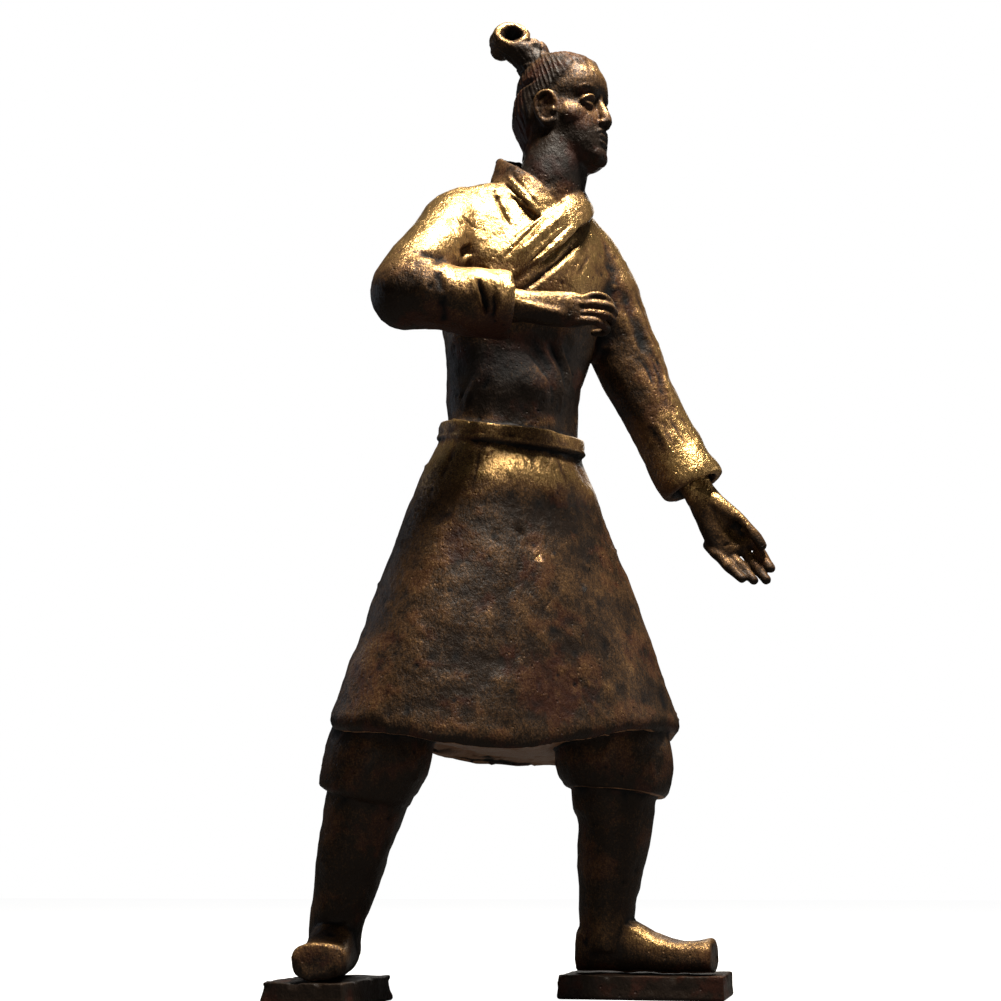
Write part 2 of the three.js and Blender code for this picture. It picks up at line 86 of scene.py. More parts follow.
def smoothRow(stations, gap):
    # Even steps along a soft curve through the stations; every number of a station is carried along.
    rows = [np.array(s, float) for s in stations]
    rows = [2 * rows[0] - rows[1]] + rows + [2 * rows[-1] - rows[-2]]
    out = []
    for i in range(1, len(rows) - 2):
        a, b, c, d = rows[i - 1:i + 3]
        steps = max(2, int(np.linalg.norm((c - b)[:3]) / gap) + 1)
        for k in range(steps):
            t = k / steps
            curve = (2 * b) + (c - a) * t + (2 * a - 5 * b + 4 * c - d) * t * t
            out.append(0.5 * (curve + (3 * b - a - 3 * c + d) * t ** 3))
    out.append(rows[-2])
    return out


def loft(bm, rings, sides):
    # rings: functions from an angle to a point. A grid is rolled through them, sewn along its seam and closed.
    part = bmesh.new()
    bmesh.ops.create_grid(part, x_segments=sides, y_segments=len(rings) - 1, size=1)
    turns = [2 * math.pi * (k % sides) / sides for k in range(sides + 1)]
    for n, v in enumerate(part.verts):
        v.co = rings[n // (sides + 1)](turns[n % (sides + 1)])
    seam = [v for n, v in enumerate(part.verts) if n % (sides + 1) in (0, sides)]
    bmesh.ops.remove_doubles(part, verts=seam, dist=0.001)
    rim = [e for e in part.edges if e.is_boundary]
    bmesh.ops.edgeloop_fill(part, edges=rim)
    bmesh.ops.recalc_face_normals(part, faces=part.faces)
    made = bpy.data.meshes.new("part")
    part.to_mesh(made)
    part.free()
    bm.from_mesh(made)
    bpy.data.meshes.remove(made)


def pour(bm, piece):
    # The piece's mesh goes into the casting and the piece itself is thrown away.
    made = piece.data
    bm.from_mesh(made)
    bpy.data.objects.remove(piece)
    bpy.data.meshes.remove(made)


def oval(middle, side, back, wide, deep, square=2.0, shape=None):
    def at(turn):
        c, s = math.cos(turn), math.sin(turn)
        across = math.copysign(abs(c) ** (2 / square), c) * wide
        along = math.copysign(abs(s) ** (2 / square), s) * deep
        point = middle + side * across + back * along
        return shape(point, turn) if shape else point
    return at


def upright(bm, levels, turn, sides, shape=None, gap=1.6):
    # levels from the bottom up: height, x, y, half width, half depth, squareness
    side, back = heading(turn), heading(turn + 90)
    rows = smoothRow(levels, gap)
    loft(bm, [oval(Vector((x, y, z)), side, back, w, d, s, shape) for z, x, y, w, d, s in rows], sides)


def limb(bm, stations, facing, sides=32, domes=(False, False), square=2.0, gap=1.0):
    # stations along a path: x, y, z, half width along facing, half depth
    rows = smoothRow(stations, gap)
    spots = [Vector(r[:3]) for r in rows]
    rings = []
    ends = []
    for i, (spot, row) in enumerate(zip(spots, rows)):
        along = (spots[min(i + 1, len(spots) - 1)] - spots[max(i - 1, 0)]).normalized()
        side = (facing - along * facing.dot(along)).normalized()
        back = along.cross(side)
        rings.append(oval(spot, side, back, row[3], row[4], square))
        ends.append((spot, along, side, back, row[3], row[4]))

    def dome(end, way):
        spot, along, side, back, wide, deep = end
        made = []
        for rise in (0.35, 0.62, 0.82, 0.94, 0.99):
            shrink = math.sqrt(1 - rise * rise)
            tip = spot + along * (way * rise * min(wide, deep))
            made.append(oval(tip, side, back, wide * shrink, deep * shrink, square))
        return made

    first = dome(ends[0], -1)[::-1] if domes[0] else []
    last = dome(ends[-1], 1) if domes[1] else []
    loft(bm, first + rings + last, sides)


def ball(bm, middle, radii):
    # A rounded lump: radii along its own front, left and up.
    headFrame = Matrix((headFront, headLeft, upward)).transposed()
    for v in bmesh.ops.create_icosphere(bm, subdivisions=3, radius=1)["verts"]:
        v.co = Vector(middle) + headFrame @ Vector((v.co.x * radii[0], v.co.y * radii[1], v.co.z * radii[2]))


def turnBetween(a, b):
    return math.atan2(math.sin(a - b), math.cos(a - b))


def bell(distance, reach):
    return math.exp(-(distance / reach) ** 2)


def ramp(value, low, high):
    t = min(1, max(0, (value - low) / (high - low)))
    return t * t * (3 - 2 * t)


def cut(whole, tool):
    # The tool is taken out of the whole, both closed meshes.
    modifier = whole.modifiers.new("cut", "BOOLEAN")
    modifier.operation = "DIFFERENCE"
    modifier.solver = "EXACT"
    modifier.object = tool
    applyModifiers(whole)
    bpy.data.objects.remove(tool)


def smoothFaces(piece):
    for polygon in piece.data.polygons:
        polygon.use_smooth = True


def applyModifiers(piece):
    depsgraph = bpy.context.evaluated_depsgraph_get()
    made = bpy.data.meshes.new_from_object(piece.evaluated_get(depsgraph), depsgraph=depsgraph)
    piece.modifiers.clear()
    old = piece.data
    piece.data = made
    bpy.data.meshes.remove(old)


def asPiece(bm, name):
    bmesh.ops.recalc_face_normals(bm, faces=bm.faces)
    mesh = bpy.data.meshes.new(name)
    bm.to_mesh(mesh)
    bm.free()
    piece = bpy.data.objects.new(name, mesh)
    bpy.context.scene.collection.objects.link(piece)
    return piece


def remesh(piece, size):
    modifier = piece.modifiers.new("remesh", "REMESH")
    modifier.mode = "VOXEL"
    modifier.voxel_size = size
    modifier.adaptivity = 0
    applyModifiers(piece)


def dropFlakes(piece):
    # Thinning leaves a few loose flakes beside the one closed body; only the body is kept.
    bm = bmesh.new()
    bm.from_mesh(piece.data)
    groups, seen = [], set()
    for start in bm.faces:
        if start in seen:
            continue
        seen.add(start)
        group = [start]
        for face in group:
            for edge in face.edges:
                for other in edge.link_faces:
                    if other not in seen:
                        seen.add(other)
                        group.append(other)
        groups.append(group)
    body = max(groups, key=len)
    bmesh.ops.delete(bm, geom=[face for group in groups if group is not body for face in group], context="FACES")
    bm.to_mesh(piece.data)
    bm.free()


def thin(piece, share, **settings):
    modifier = piece.modifiers.new("thin", "DECIMATE")
    modifier.ratio = share
    for key, value in settings.items():
        setattr(modifier, key, value)
    applyModifiers(piece)
    dropFlakes(piece)


# The robe: skirt, belt, chest and the two crossed collar bands
robe = {
    "hem": 72.2, "hemDip": 4.2, "hemHollow": 0.7, "hemInset": 1.6,
    "beltTop": 171, "beltHeight": 5.9, "beltDip": 7, "sides": 140,
    "skirt": [  # height, x, y, half width, half depth, squareness
        (72.2, 3.3, 0, 55.0, 33.4, 2.1), (73.6, 3.3, 0, 56.0, 34.1, 2.1), (76.4, 3.3, 0, 56.0, 34.1, 2.1),
        (80, 3.2, 0, 54.8, 33.5, 2.1), (92, 3.2, 0, 51, 31.6, 2.1), (106, 3.1, 0, 46.2, 29.4, 2.06),
        (120, 2.8, 0, 41.1, 26.8, 2.04), (134, 2.4, 0, 35.6, 24, 2.02), (147, 2, 0, 30.4, 21.4, 2),
        (157, 2.4, 0, 26, 19.2, 2), (165, 3.2, 0, 22.6, 17, 2), (170, 3.7, 0, 21.2, 16, 2)],
    "chest": [
        (164, 3.8, 0, 21.4, 16.6, 2), (178, 4.0, 0, 21.7, 17.0, 2), (187, 4.8, 0, 22.8, 17.8, 2),
        (195, 6, 0, 25, 18.8, 2), (204, 6.8, -0.2, 27, 19.8, 2), (213, 7.5, -0.6, 28.9, 20.2, 2),
        (221, 8, -0.6, 30, 19.2, 2), (229, 8.3, -0.4, 30.6, 17.2, 2), (236, 8.4, -0.2, 30, 14.4, 2),
        (241, 8.2, -0.6, 27.4, 12.2, 2), (244.6, 9, -1.2, 21, 10.4, 2), (247.4, 12, -2.2, 12, 8.6, 2)],
    "yoke": [  # the shoulders, from his right to his left
        (-10, -5, 236.4, 8.6, 9), (0, -1.6, 239, 9, 9.4), (10, 0, 240, 9.4, 10), (20, 5, 238.4, 9, 9.4),
        (26, 9.6, 233.6, 8.6, 9)],
    "belt": [  # share of the belt's height, how far it stands out
        (0, -1), (0.03, 0.2), (0.1, 0.8), (0.2, 0.95), (0.29, 0.7), (0.34, 0.25), (0.4, 0.8), (0.6, 1.15),
        (0.8, 1.4), (0.9, 1.45), (0.96, 0.9), (1, -1)],
}
collar = {  # x, y, z, half width, then the way the band faces
    "thickness": 1.5,
    "over": [
        (4, 7.4, 258, 4.2, -0.5, 0.9, -0.2), (13, 10, 258, 4.4, 0.1, 1, -0.2), (21.4, 6.8, 253.4, 4.6, 0.7, 0.7, 0),
        (26, 0.2, 247.4, 4.8, 1, 0.1, 0.2), (26, -8, 241, 5, 0.9, -0.6, 0.5), (21.6, -14.8, 234, 5.2, 0.7, -0.9, 0.5),
        (14.4, -19.4, 226.6, 5.4, 0.5, -1, 0.4), (6, -22, 218.6, 5.2, 0.3, -1, 0.3),
        (-2, -22.6, 211, 4.6, 0.1, -1, 0.1)],
    "under": [
        (9, 9.4, 258, 4.4, -0.3, 1, -0.2), (1.4, 5, 257.2, 4.6, -0.9, 0.4, 0), (-1, -3.4, 253.6, 4.8, -1, -0.4, 0.3),
        (2.6, -12, 247.6, 4.8, -0.6, -0.8, 0.5), (9.6, -17, 240.4, 4.8, -0.1, -1, 0.5),
        (17.4, -15.6, 231.6, 4.2, 0.2, -1, 0.5)],
}
frontTurn = -math.pi / 2


def hemLevel(point):
    level = math.atan2(point.y, point.x)
    return robe["hem"] - robe["hemDip"] * math.cos(2 * (level + math.pi / 2)) + 0.4 * math.sin(5 * level)


def skirtShape(point, turn):
    fall = max(0, (128 - point.z) / 56)
    fold = 1 + 0.010 * fall * math.cos(6 * turn + 0.6) + 0.008 * fall * math.sin(9 * turn)
    drop = ramp(120 - point.z, 0, 120 - robe["hem"])
    belly = 2.4 * bell(point.z - 149, 8) * bell(turnBetween(turn, frontTurn + 0.05), 0.75)
    seat = 1.6 * bell(point.z - 146, 12) * bell(turnBetween(turn, math.pi / 2), 0.7)
    outward = Vector((point.x - 3, point.y, 0)).normalized() * (belly + seat)
    return Vector((point.x * fold, point.y * fold, point.z + drop * (hemLevel(point) - robe["hem"]))) + outward


def hollowShape(point, turn):
    return Vector((point.x, point.y, point.z + hemLevel(point) - robe["hem"]))


def beltShape(point, turn):
    nearFront = (1 + math.cos(turnBetween(turn, frontTurn))) / 2
    shaped = point + bodyFront * (1.9 * nearFront ** 2)   # fuller over the belly
    shaped.z -= robe["beltDip"] * nearFront ** 1.5
    return shaped


def chestShape(point, turn):
    offFront = turnBetween(turn, frontTurn - 0.1)
    hollow = -2.4 * bell(point.z - 191, 6.5) * bell(offFront, 0.62)
    belly = 1.8 * bell(point.z - 178, 5) * bell(offFront, 0.55)
    spine = -1.1 * bell(point.z - 205, 24) * bell(turnBetween(turn, math.pi / 2), 0.22)
    outward = Vector((point.x - 6, point.y, 0)).normalized()
    return point + outward * (hollow + belly + spine)


def band(bm, stations, thickness, sides=28, gap=0.8):
    # Folded cloth laid on the body. stations: x, y, z, half width, then the way its face looks
    rows = smoothRow(stations, gap)
    spots = [Vector(r[:3]) for r in rows]
    rings = []
    for i, (spot, row) in enumerate(zip(spots, rows)):
        along = (spots[min(i + 1, len(spots) - 1)] - spots[max(i - 1, 0)]).normalized()
        face = Vector(row[4:7])
        back = (face - along * face.dot(along)).normalized()
        rings.append(oval(spot, back.cross(along), back, row[3], thickness, 3.2))
    loft(bm, rings, sides)


def addForm(bm, makeWhole, makeHollow, join=0):
    # A form with a hollow cut out of it, joined to the rest of the casting. Forms that overlap are joined first.
    whole = bmesh.new()
    makeWhole(whole)
    tool = bmesh.new()
    makeHollow(tool)
    piece = asPiece(whole, "whole")
    if join:
        remesh(piece, join)
    cut(piece, asPiece(tool, "tool"))
    pour(bm, piece)


def hemHollow(bm):
    z, x, y, w, d, square = robe["skirt"][0]
    inset, top = robe["hemInset"], z + robe["hemHollow"]
    levels = [
        (z - 14, x, y, w - inset + 1, d - inset + 1, square), (z, x, y, w - inset, d - inset, square),
        (top - 0.8, x, y, w - inset - 0.8, d - inset - 0.6, square),
        (top, x, y, w - inset - 2.2, d - inset - 1.6, square)]
    upright(bm, levels, stance["bodyTurn"], robe["sides"], hollowShape)


def robeForms(bm):
    turn, sides = stance["bodyTurn"], robe["sides"]
    addForm(bm, lambda part: upright(part, robe["skirt"], turn, sides, skirtShape), hemHollow)
    top, tall = robe["beltTop"], robe["beltHeight"]
    levels = []
    for share, out in robe["belt"]:
        wide, deep = 21.8 + out + 1.7 * (1 - share), 17.1 + out + 1.9 * (1 - share)
        levels.append((top - tall * (1 - share), 3.4, 0, wide, deep, 2))
    upright(bm, levels, turn, sides, beltShape, 0.3)
    upright(bm, robe["chest"], turn, 120, chestShape)
    band(bm, collar["over"], collar["thickness"])
    band(bm, collar["under"], collar["thickness"])



# The arms: his right is folded across the chest, his left hangs out to the side
rightArm = {
    "upper": [
        (-8.6, -6, 237.6, 9.4, 9.2), (-12.6, -11.4, 233, 10.6, 10.6), (-17.6, -19.4, 223.2, 10.6, 10.6),
        (-22.8, -27, 212.6, 10.4, 10.6), (-27.6, -33, 202.4, 10.8, 10.8)],
    "fore": [
        (-28, -35.4, 200.2, 10.6, 10.4), (-20, -36.4, 199.4, 10.2, 10), (-13.4, -36, 198.4, 9.8, 9.4),
        (-9.8, -35.4, 198, 10.2, 9.8), (-4.6, -34.4, 197.7, 10.2, 9.8), (0.4, -33.6, 197.5, 10.4, 9.8),
        (2.6, -33.2, 197.5, 10, 9.4)],
    "cuffMouth": [(-1.4, -33.8, 197.3, 7.4, 6.6), (6, -32.6, 197.2, 9.4, 8.6)],
    "palm": [
        (-4, -34, 197.4, 5.4, 4.4), (3.4, -33, 197.5, 5.2, 4), (8, -32.2, 197.4, 4.7, 3.5),
        (13, -31.4, 197.2, 5.1, 3.2),
        (18, -30.6, 197.2, 5.5, 3), (22, -29.8, 197.3, 5.4, 2.8), (24.6, -29.2, 197.4, 4.7, 2.2)],
    "thumb": [
        (7, -29.8, 199.4, 2.4, 2.2), (13, -27.6, 200.6, 2.2, 2), (18.4, -25.8, 201, 1.8, 1.7),
        (23, -24.6, 200.4, 1.5, 1.4)],
    "fingers": [  # height at the knuckle, in the middle and at the bend, reach, thickness
        (200, 201.6, 199.8, 33.2, 1.15), (198.4, 198.7, 197.4, 34, 1.35),
        (195.8, 195.9, 195, 33.6, 1.15), (193.4, 193.3, 192.6, 31.6, 1.25)],
}
leftArm = {
    "sleeve": [
        (23.4, 7.6, 235.4, 9, 9), (28.6, 11.4, 230, 10.4, 10.2), (33, 13.4, 220, 11.4, 11),
        (36.6, 14.2, 209, 11.2, 10.8),
        (41, 14.2, 196.6, 10.8, 10.4), (46.4, 13.6, 183.6, 10.3, 9.8), (52.2, 12.4, 171, 9.8, 9.2),
        (57, 11.2, 160.6, 10.1, 9.4),
        (60, 10.4, 155.2, 10.4, 9.6), (60.9, 10.2, 153.4, 9.8, 9.2)],
    "cuffMouth": [(58.4, 11, 158, 6.6, 6), (62.8, 9.7, 149.6, 9.2, 8.6)],
    "palm": [
        (58.2, 10.8, 159, 4.8, 4), (62.4, 10.2, 151.6, 4.8, 3.7), (65, 9.8, 147, 5.6, 3.5),
        (67.8, 9.6, 142.8, 6.7, 3.2),
        (70.4, 9.6, 138.6, 7.3, 2.9), (72.6, 9.4, 135, 7.1, 2.5), (73.6, 9, 133, 6.4, 2.1)],
    "knuckles": [(66.8, 9, 132), (70.4, 9.4, 132.8), (75, 9.4, 133.8), (78.8, 8.8, 135.4)],
    "tips": [(74, 4.4, 122.8), (77.6, 4.2, 122.2), (81.4, 4.4, 122.4), (83, 4.8, 126.2)],
    "thumb": [
        (64.6, 8.4, 150, 2.7, 2.4), (68.6, 7.4, 146.4, 2.9, 2.5), (72.6, 6.4, 143, 2.5, 2.2),
        (76, 5.4, 139.4, 2.0, 1.9), (78.8, 4.8, 136, 1.9, 1.7), (80.6, 4.6, 133.2, 1.6, 1.4)],
    "joints": [  # share of a finger's length, how far it curls inwards, thickness
        (-0.3, 0.3, 1.7), (0, 0.1, 1.85), (0.22, 0.3, 1.65), (0.5, 0.5, 1.75), (0.75, 0.5, 1.5), (1, 0, 1.4)],
}
forearmFacing, upperFacing = upward, Vector((1, -0.2, 0))
sleeveFacing, handFacing = Vector((1, 0, 0.5)), Vector((0.87, 0, 0.49))


def sleeveForm(bm, arm, sleeve, facing):
    # A sleeve with the mouth of its cuff hollowed out
    addForm(bm, lambda part: limb(part, arm[sleeve], facing, 64, (True, False)),
            lambda part: limb(part, arm["cuffMouth"], facing, 64))


def finger(bm, stations, facing):
    limb(bm, stations, facing, 20, (True, True), 2, 0.5)


def rightHandForms(bm):
    limb(bm, rightArm["palm"], forearmFacing, 40, (False, True), 2.4, 0.6)
    for start, middle, bend, reach, thick in rightArm["fingers"]:
        finger(bm, [
            (18.5, -30.4, start - 0.2, thick * 0.9, thick), (23.4, -31, start, thick * 1.12, thick * 1.15),
            (27.6, -30.8, middle, thick, thick), (reach - 2.2, -29.4, middle - 0.2, thick * 1.05, thick * 1.05),
            (reach, -27.2, bend, thick, thick * 0.95), (reach - 0.6, -24.6, bend - 0.4, thick * 0.9, thick * 0.9),
            (reach - 3.6, -23.2, bend - 0.2, thick * 0.85, thick * 0.8)], forearmFacing)
    finger(bm, rightArm["thumb"], forearmFacing)


def leftHandForms(bm):
    limb(bm, leftArm["palm"], handFacing, 40, (False, True), 2.4, 0.6)
    for knuckle, tip in zip(leftArm["knuckles"], leftArm["tips"]):
        k, t = Vector(knuckle), Vector(tip)
        rows = []
        for share, sag, thick in leftArm["joints"]:
            spot = k.lerp(t, share)
            rows.append((spot.x, spot.y + sag, spot.z, thick, thick * 0.92))
        finger(bm, rows, handFacing)
    finger(bm, leftArm["thumb"], handFacing)


# The head and its knot of hair
head = {
    "skull": [  # rise, front, back, half width, squareness of the front half
        (0.4, 10.6, 2, 4.0, 2.2), (1.4, 12.6, -2.5, 6.6, 2.2), (4, 13.6, -9, 9.0, 2.2), (8.5, 13.8, -13.2, 10.9, 2.3),
        (13.5, 13.4, -15.2, 12.1, 2.3), (18, 12.4, -17.2, 12.6, 2.35), (21.5, 11.5, -17.4, 12.7, 2.4),
        (25.4, 14.0, -16.9, 12.8, 2.3),
        (29, 14.4, -16.0, 12.7, 2.2), (32.4, 13.6, -15.6, 12.3, 2.1), (36, 11.6, -14.4, 11.2, 2),
        (38.9, 8.2, -12.2, 9.4, 2),
        (41.2, 2.4, -7, 5.5, 2)],
    "neck": [  # height, x, y, half width, half depth, squareness
        (238, 13, -2.4, 13.5, 12.5, 2), (247, 15.2, -3.2, 12.4, 11.8, 2), (253, 17, -3.6, 11.6, 11, 2),
        (260, 18.4, -3.2, 11, 10.6, 2), (268, 19.4, -2.4, 10.8, 10.4, 2), (276, 20, -2, 10.6, 10.4, 2)],
    # front, left, rise and the half width and depth of each feature; left is turned over for his right side
    "nose": [
        (12.0, 0, 25.2, 1.5, 1.6), (12.3, 0, 22.4, 1.25, 1.5), (13.2, 0, 19.6, 1.4, 1.8),
        (14.5, 0, 16.8, 1.8, 1.9), (15.1, 0, 14.9, 2.0, 1.8)],
    "upperLid": [
        (11.0, 2.1, 20.7, 0.5, 0.5), (12.2, 3.5, 22.1, 0.65, 0.6), (12.5, 5.1, 22.6, 0.7, 0.65),
        (11.7, 6.8, 21.9, 0.65, 0.6), (10.2, 8.3, 20.5, 0.5, 0.5)],
    "lowerLid": [
        (11.0, 2.2, 20.5, 0.4, 0.4), (12.0, 4.2, 19.6, 0.5, 0.5), (11.7, 6.0, 19.5, 0.5, 0.5),
        (10.4, 7.9, 20.2, 0.4, 0.4)],
    "brow": [
        (12.4, 1.8, 24.5, 0.9, 0.8), (12.7, 4.2, 25.7, 1.0, 0.8), (11.4, 7.2, 25.6, 0.8, 0.8),
        (9.2, 9.2, 24.3, 0.5, 0.6)],
    "moustache": [
        (13.9, 0.2, 11.9, 0.45, 0.5), (13.9, 1.6, 11.7, 0.6, 0.6), (13.2, 3.6, 10.6, 0.5, 0.5),
        (12.2, 5.2, 9.5, 0.25, 0.3)],
    "upperLip": [
        (13.9, 0, 9.5, 0.75, 0.8), (13.9, 1.3, 9.75, 0.75, 0.8), (13.1, 3, 9.1, 0.5, 0.6),
        (12.4, 4, 8.6, 0.25, 0.3)],
    "lowerLip": [
        (13.7, 0, 7.3, 0.95, 0.9), (13.6, 1.5, 7.4, 0.85, 0.85), (12.9, 2.9, 7.9, 0.5, 0.6),
        (12.4, 3.8, 8.3, 0.25, 0.3)],
    "earRim": [
        (1.4, 12.6, 18.6, 0.6, 0.6), (1.6, 13.2, 21.4, 0.75, 0.75), (0.6, 13.8, 23.6, 0.85, 0.85),
        (-1.6, 14.2, 24.2, 0.9, 0.9), (-3.8, 14.2, 22.4, 0.9, 0.9), (-4.4, 14, 19.2, 0.85, 0.85),
        (-3.6, 13.6, 15.8, 0.8, 0.8), (-2.0, 13.2, 13.2, 0.9, 0.9), (-0.4, 12.8, 12.6, 1.0, 1.0),
        (0.6, 12.5, 13.6, 0.8, 0.8)],
    "earFold": [
        (-0.6, 13.4, 22.4, 0.5, 0.5), (-2.2, 13.6, 20.8, 0.6, 0.6), (-2.8, 13.5, 18.4, 0.65, 0.65),
        (-2.0, 13.2, 15.8, 0.6, 0.6)],
}


def headSection(rise, front, back, wide, square):
    widest = (front + back) / 2 - 1

    def at(turn):
        c, s = math.cos(turn), math.sin(turn)
        power = 2 / square if s > 0 else 1
        across = math.copysign(abs(c) ** power, c) * wide
        half = (front - widest) if s > 0 else (widest - back)
        return onHead(widest + math.copysign(abs(s) ** power, s) * half, across, rise)
    return at


def feature(bm, stations, hand=1, facing=upward):
    placed = [tuple(onHead(f, hand * l, u)) + (w, d) for f, l, u, w, d in stations]
    limb(bm, placed, facing, 20, (True, True), 2, 0.35)


def ear(bm, hand):
    ball(bm, onHead(0, hand * 12.5, 17.6), (3.1, 1.0, 5.1))
    for name, facing in (("earRim", Vector((0.2, 0.1, 1))), ("earFold", upward)):
        feature(bm, [(f + 1.2, l, 1.4 + 0.9 * u, w, d) for f, l, u, w, d in head[name]], hand, facing)
    ball(bm, onHead(2.5, hand * 12.8, 16.7), (0.8, 0.9, 1.1))


def headForms(bm):
    loft(bm, [headSection(*row) for row in smoothRow(head["skull"], 2.2)], 96)
    upright(bm, head["neck"], stance["headTurn"], 60)
    # face: calm, even thirds from chin to brow to hairline, five eye widths across
    feature(bm, head["nose"], 1, headLeft)
    ball(bm, onHead(11.6, 0, 3.6), (2.9, 4.8, 3.4))
    for hand in (-1, 1):
        ball(bm, onHead(14.0, hand * 1.75, 14.2), (1.5, 1.1, 1.2))
        ball(bm, onHead(8.9, hand * 4.9, 21.3), (3.3, 3.1, 2.9))
        for name in ("upperLid", "lowerLid", "brow"):
            feature(bm, head[name], hand)
        ball(bm, onHead(5.2, hand * 6.4, 15.8), (5.7, 5.6, 5.6))
        for name in ("moustache", "upperLip", "lowerLip"):
            feature(bm, head[name], hand)
        ear(bm, hand)


topknot = {
    "stem": [
        (15, -1.2, 288, 7.6, 7.2), (11.4, -2.4, 292.2, 6, 5.8), (8, -3.4, 295.2, 4.8, 4.8),
        (3.6, -4.4, 298.6, 4.5, 4.7)],
    "tie": [(13.8, -3.6, 294.4, 2.4, 2.6), (12.2, -4.2, 296.4, 2.8, 2.9), (10.6, -4.6, 298, 2.4, 2.5)],
    "loop": [
        (0.6, -0.4, 299.4, 4.2, 3.6), (1.8, -3, 300, 6, 4.6), (3, -6, 300.4, 6.3, 4.9),
        (3.8, -8.6, 300.7, 6, 4.6)],
    "mouth": [(3.0, -6.2, 300.4, 1.6, 1.0), (3.6, -7.9, 300.6, 3.6, 2.6), (4.2, -10, 300.8, 5.0, 3.7)],
    "stemFacing": (0.3, -1, 0), "loopFacing": (0.86, 0.44, 0.26),
}


def topknotForms(bm):
    stemFacing, loopFacing = Vector(topknot["stemFacing"]), Vector(topknot["loopFacing"])

    def whole(part):
        limb(part, topknot["stem"], stemFacing, 48)
        limb(part, topknot["tie"], stemFacing, 32, (True, True))
        limb(part, topknot["loop"], loopFacing, 48, (True, False), 2, 0.5)

    def mouth(part):
        limb(part, topknot["mouth"], loopFacing, 40, (True, False), 2, 0.5)
    addForm(bm, whole, mouth, 0.45)


# Legs and shoes
rightLeg = {
    "trousers": [
        (-27, -6.6, 86, 11, 11), (-32.4, -9, 76, 14.6, 15), (-35.2, -10, 69, 15.5, 16), (-37, -10, 64, 14.8, 15.4),
        (-38.2, -9.8, 60, 14.2, 14.6), (-38.6, -9.6, 57.4, 13.6, 14), (-38.8, -9.5, 56.4, 12.7, 13)],
    "shin": [
        (-37.4, -9.6, 60, 12.3, 12.6), (-39.4, -9, 52.2, 11.3, 11.8), (-41.6, -8.2, 44, 10.2, 10.8),
        (-43.4, -7.2, 35.8, 9.4, 9.8),
        (-45.2, -6.4, 27.7, 8.4, 8.6), (-46.8, -6, 20, 7.7, 7.8), (-47.1, -5.8, 13, 7.2, 7.4)],
    "heel": (-46.6, 3), "shoeTurn": -92.6, "shoeLength": 37.5,
}
leftLeg = {
    "trousers": [
        (31.4, 8, 86, 16.4, 15.8), (33, 8.6, 77, 17.2, 16.6), (33.8, 9, 71, 17.6, 17), (34.4, 9.2, 66.6, 17.4, 16.6),
        (34.6, 9.4, 62.4, 16.6, 15.8), (34.4, 9.6, 59.6, 15.6, 15), (34.3, 9.6, 58.6, 14.6, 14)],
    "shin": [
        (34.4, 9.6, 62, 13.2, 13), (34, 9.8, 57, 12.9, 12.8), (34.3, 10, 52, 11.8, 12), (34, 10.2, 44.8, 10.8, 11),
        (32.8, 10.6, 36, 9.6, 9.8), (31.6, 11, 27.5, 8.5, 8.6), (31.3, 11, 20, 8.2, 8), (31.2, 11, 13, 7.6, 7.6)],
    "heel": (22.8, 13.8), "shoeTurn": -16, "shoeLength": 40.5,
}
shoe = {
    "width": 14.6, "sole": 7.3, "squareness": 2.8,
    "profile": [  # share of the length, share of the width, height
        (0, 0.62, 9.5), (0.03, 0.8, 13), (0.14, 0.9, 15.6), (0.3, 0.9, 16), (0.45, 0.88, 14.2), (0.58, 0.9, 11.3),
        (0.72, 0.97, 9.2), (0.86, 1.02, 8.9), (0.94, 1.03, 9.2), (0.985, 1.02, 9.4), (1, 0.97, 8.7)],
}


def legForms(bm, leg):
    limb(bm, leg["trousers"], Vector((1, 0, 0)), 64)
    limb(bm, leg["shin"], Vector((1, 0, 0)), 56)
    ahead, side = heading(leg["shoeTurn"]), heading(leg["shoeTurn"] - 90)
    rings = []
    for share, width, height in smoothRow(shoe["profile"], 0.04):
        middle = Vector((*leg["heel"], shoe["sole"] + height / 2)) + ahead * (share * leg["shoeLength"])
        rings.append(oval(middle, side, upward, width * shoe["width"] / 2, height / 2, shoe["squareness"]))
    loft(bm, rings, 48)


# The whole casting
def fillet(bm, makeForms, size, rounds):
    # The forms joined and softened on their own first, so the corners between them fill like worked clay.
    part = bmesh.new()
    makeForms(part)
    piece = asPiece(part, "fillet")
    remesh(piece, size)
    soft = piece.modifiers.new("soft", "SMOOTH")
    soft.factor = 0.5
    soft.iterations = rounds
    applyModifiers(piece)
    pour(bm, piece)


def upperBody(bm):
    upright(bm, robe["chest"], stance["bodyTurn"], 90, chestShape)
    limb(bm, rightArm["upper"], upperFacing, 48, (True, True))
    limb(bm, rightArm["fore"][:4], forearmFacing, 48, (True, False))
    limb(bm, leftArm["sleeve"][:7], sleeveFacing, 48, (True, False))
    limb(bm, robe["yoke"], upward, 48, (True, True))


def neckAndJaw(bm):
    upright(bm, head["neck"], stance["headTurn"], 60)
    loft(bm, [headSection(*row) for row in smoothRow(head["skull"][1:7], 2.2)], 72)


